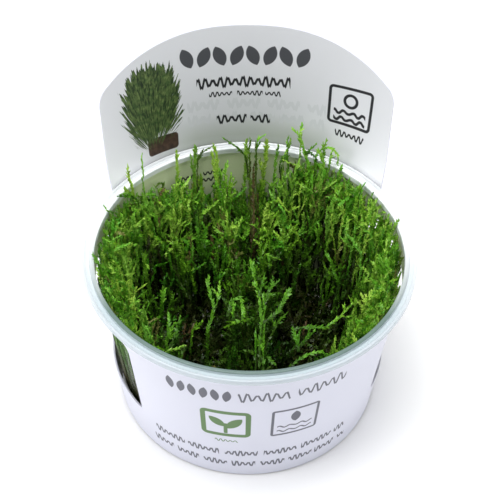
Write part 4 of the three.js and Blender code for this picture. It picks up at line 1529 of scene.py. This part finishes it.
def make_clumps(tree, material):
    """Every clump of shoots, each in the place of the solid clump of the same name."""
    dice = random.Random(SHOOT_SEED)
    clumps = {(ring, k): Strands() for ring, crests in enumerate(CRESTS) for k in range(len(crests))}
    grow_lead_shoots(clumps, dice)
    grow_understory(clumps, dice)
    grow_wall_stems(clumps, dice)
    grow_window_stems(clumps, random.Random(WINDOW_SEED))
    grow_rim_fillers(clumps, random.Random(FILLER_SEED))
    grow_feature_fronds(clumps, random.Random(FEATURE_SEED))
    for (ring, k), strands in clumps.items():
        for tip in lead_tips(ring, k):
            root = inside_cup(Vector((tip.x * 0.93, tip.y * 0.93, 9)), ROOT_MARGIN)
            grow_shoot(strands, root, tip, dice)
    for azimuth, radius, above in RIM_SHOOTS:
        tip = polar(azimuth, radius, CUP_HEIGHT + above)
        root = polar(azimuth + dice.uniform(-4, 4), 40.5, 12)
        grow_shoot(clumps[cell_of(tip.x, tip.y)], root, tip, dice, bow=0.5,
                   arms=(0, 0 if radius > BARE_TIP_RADIUS else 1), lush=0.8, vigour=1.3)
    spacing = LEAF_SPACING
    for (ring, k), strands in clumps.items():
        solid = f"{RING_NAMES[ring]}_{k + 1:02d}"
        piece = dressed_moss(solid + "_fronds", strands, tree, material, 100 * (ring + 1) + k, spacing)
        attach(piece, BODY)
        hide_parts(solid)


MAT_SEED = 5
MAT_STEMS = 620
MAT_RADIUS = 37.5


def mat_strands(dice):
    """Old stems that lie in loops and run up and down, thickest at the top and the wall of the mat."""
    strands = Strands()
    for _ in range(MAT_STEMS):
        azimuth = dice.uniform(0, 360)
        radius = MAT_RADIUS * math.sqrt(dice.uniform(0.02, 1))
        z = dice.uniform(2.4, MAT_TOP - 1.5)
        heading = dice.uniform(0, math.tau)
        climb = dice.uniform(-0.35, 0.5)
        curl = dice.uniform(-0.22, 0.22)
        point = polar(azimuth, radius, z)
        path = [point]
        for _ in range(dice.randint(7, 13)):
            heading += curl + dice.uniform(-0.25, 0.25)
            step = Vector((math.cos(heading), math.sin(heading), climb)) * 1.6
            point = inside_cup(point + step, MAT_MARGIN)
            point.z = clamp(point.z, 2.2, MAT_TOP)
            path.append(point)
        tone = dice.uniform(0, 1)
        twist = dice.uniform(0, math.tau)
        bright = dice.uniform(0.1, 0.4)
        strands.add(path, lambda t, tone=tone, twist=twist, bright=bright: {
            "girth": 0.38, "leaf": 1.75, "spread": 0.9, "cover": 0.95, "fresh": bright * lerp(0.5, 1, t),
            "tone": tone, "twist": twist, "straw": 0.06})
    return strands


def make_mat(tree, material):
    strands = mat_strands(random.Random(MAT_SEED))
    piece = dressed_moss("moss_mat_tangle", strands, tree, material, 7, MAT_LEAF_SPACING)
    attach(piece, BODY)
    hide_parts("moss_mat")


# Camera, floor and light

# The camera's distance in millimetres, its angles in degrees, and its lens
CAMERA_DISTANCE = 339.1
CAMERA_ELEVATION = 45.35
CAMERA_AIM = Vector((0, 0, 56.6))
CAMERA_ROLL = 1.2
CAMERA_LENS = 81.62
CAMERA_SENSOR = 36
CAMERA_SHIFT_X = 0.0008
FLOOR_HALF = 4000
ROOM_LIGHT = (0.96, 0.98, 1.0, 1)
ROOM_STRENGTH = 0.35
LIGHT_AIM = Vector((0, 0, 0.04))
# Lights: name, place in metres, size and power
LIGHTS = [
    ("overhead", (-0.08, 0.0, 1.05), 0.85, 12.5),
    ("left_side", (-0.9, -0.25, 0.35), 0.6, 3.7),
    ("right_side", (0.95, -0.22, 0.35), 0.6, 2.4),
]


def make_camera():
    data = bpy.data.cameras.new("camera")
    camera = bpy.data.objects.new("camera", data)
    bpy.context.scene.collection.objects.link(camera)
    elevation = math.radians(CAMERA_ELEVATION)
    back = Vector((0, -math.cos(elevation), math.sin(elevation)))
    roll = Matrix.Rotation(math.radians(CAMERA_ROLL), 4, "Z")
    turn = (-back).to_track_quat("-Z", "Y").to_matrix().to_4x4() @ roll
    camera.matrix_world = Matrix.Translation((CAMERA_AIM + back * CAMERA_DISTANCE) * MM) @ turn
    data.lens = CAMERA_LENS
    data.sensor_width = CAMERA_SENSOR
    data.shift_x = CAMERA_SHIFT_X
    data.clip_start = 0.01
    data.clip_end = 20
    bpy.context.scene.camera = camera


def area_light(name, place, size, power):
    data = bpy.data.lights.new(name, "AREA")
    data.shape = "DISK"
    data.size = size
    data.energy = power
    light = bpy.data.objects.new(name, data)
    light.location = place
    light.rotation_mode = "QUATERNION"
    light.rotation_quaternion = (LIGHT_AIM - Vector(place)).to_track_quat("-Z", "Y")
    bpy.context.scene.collection.objects.link(light)


def make_surroundings():
    """A pale floor, soft light from all round, and three lamps."""
    corners = [(x * FLOOR_HALF, y * FLOOR_HALF, 0) for x, y in ((-1, -1), (1, -1), (1, 1), (-1, 1))]
    floor = mesh_object("floor", corners, [(0, 1, 2, 3)])
    material = bpy.data.materials.new("pale_floor")
    material.use_nodes = True
    feed_all(material.node_tree, material.node_tree.nodes["Principled BSDF"].inputs, {
        "Base Color": srgb(250, 250, 250), "Roughness": 0.9})
    floor.data.materials.append(material)
    world = bpy.data.worlds.new("soft_room")
    world.use_nodes = True
    world.node_tree.nodes["Background"].inputs[0].default_value = ROOM_LIGHT
    world.node_tree.nodes["Background"].inputs[1].default_value = ROOM_STRENGTH
    bpy.context.scene.world = world
    for light in LIGHTS:
        area_light(*light)
    view = bpy.context.scene.view_settings
    view.view_transform = "Standard"
    view.look = "None"


make_camera()
make_surroundings()
make_cup()
make_sleeve(printed_card())
FRONDS = moss_fronds_tree()
make_mat(FRONDS, moss_material("moss_stems", (0.17, 0.2, 0.1, 1), 0.0))
make_clumps(FRONDS, moss_material("moss_shoots", (1, 1, 1, 1), 0.3))
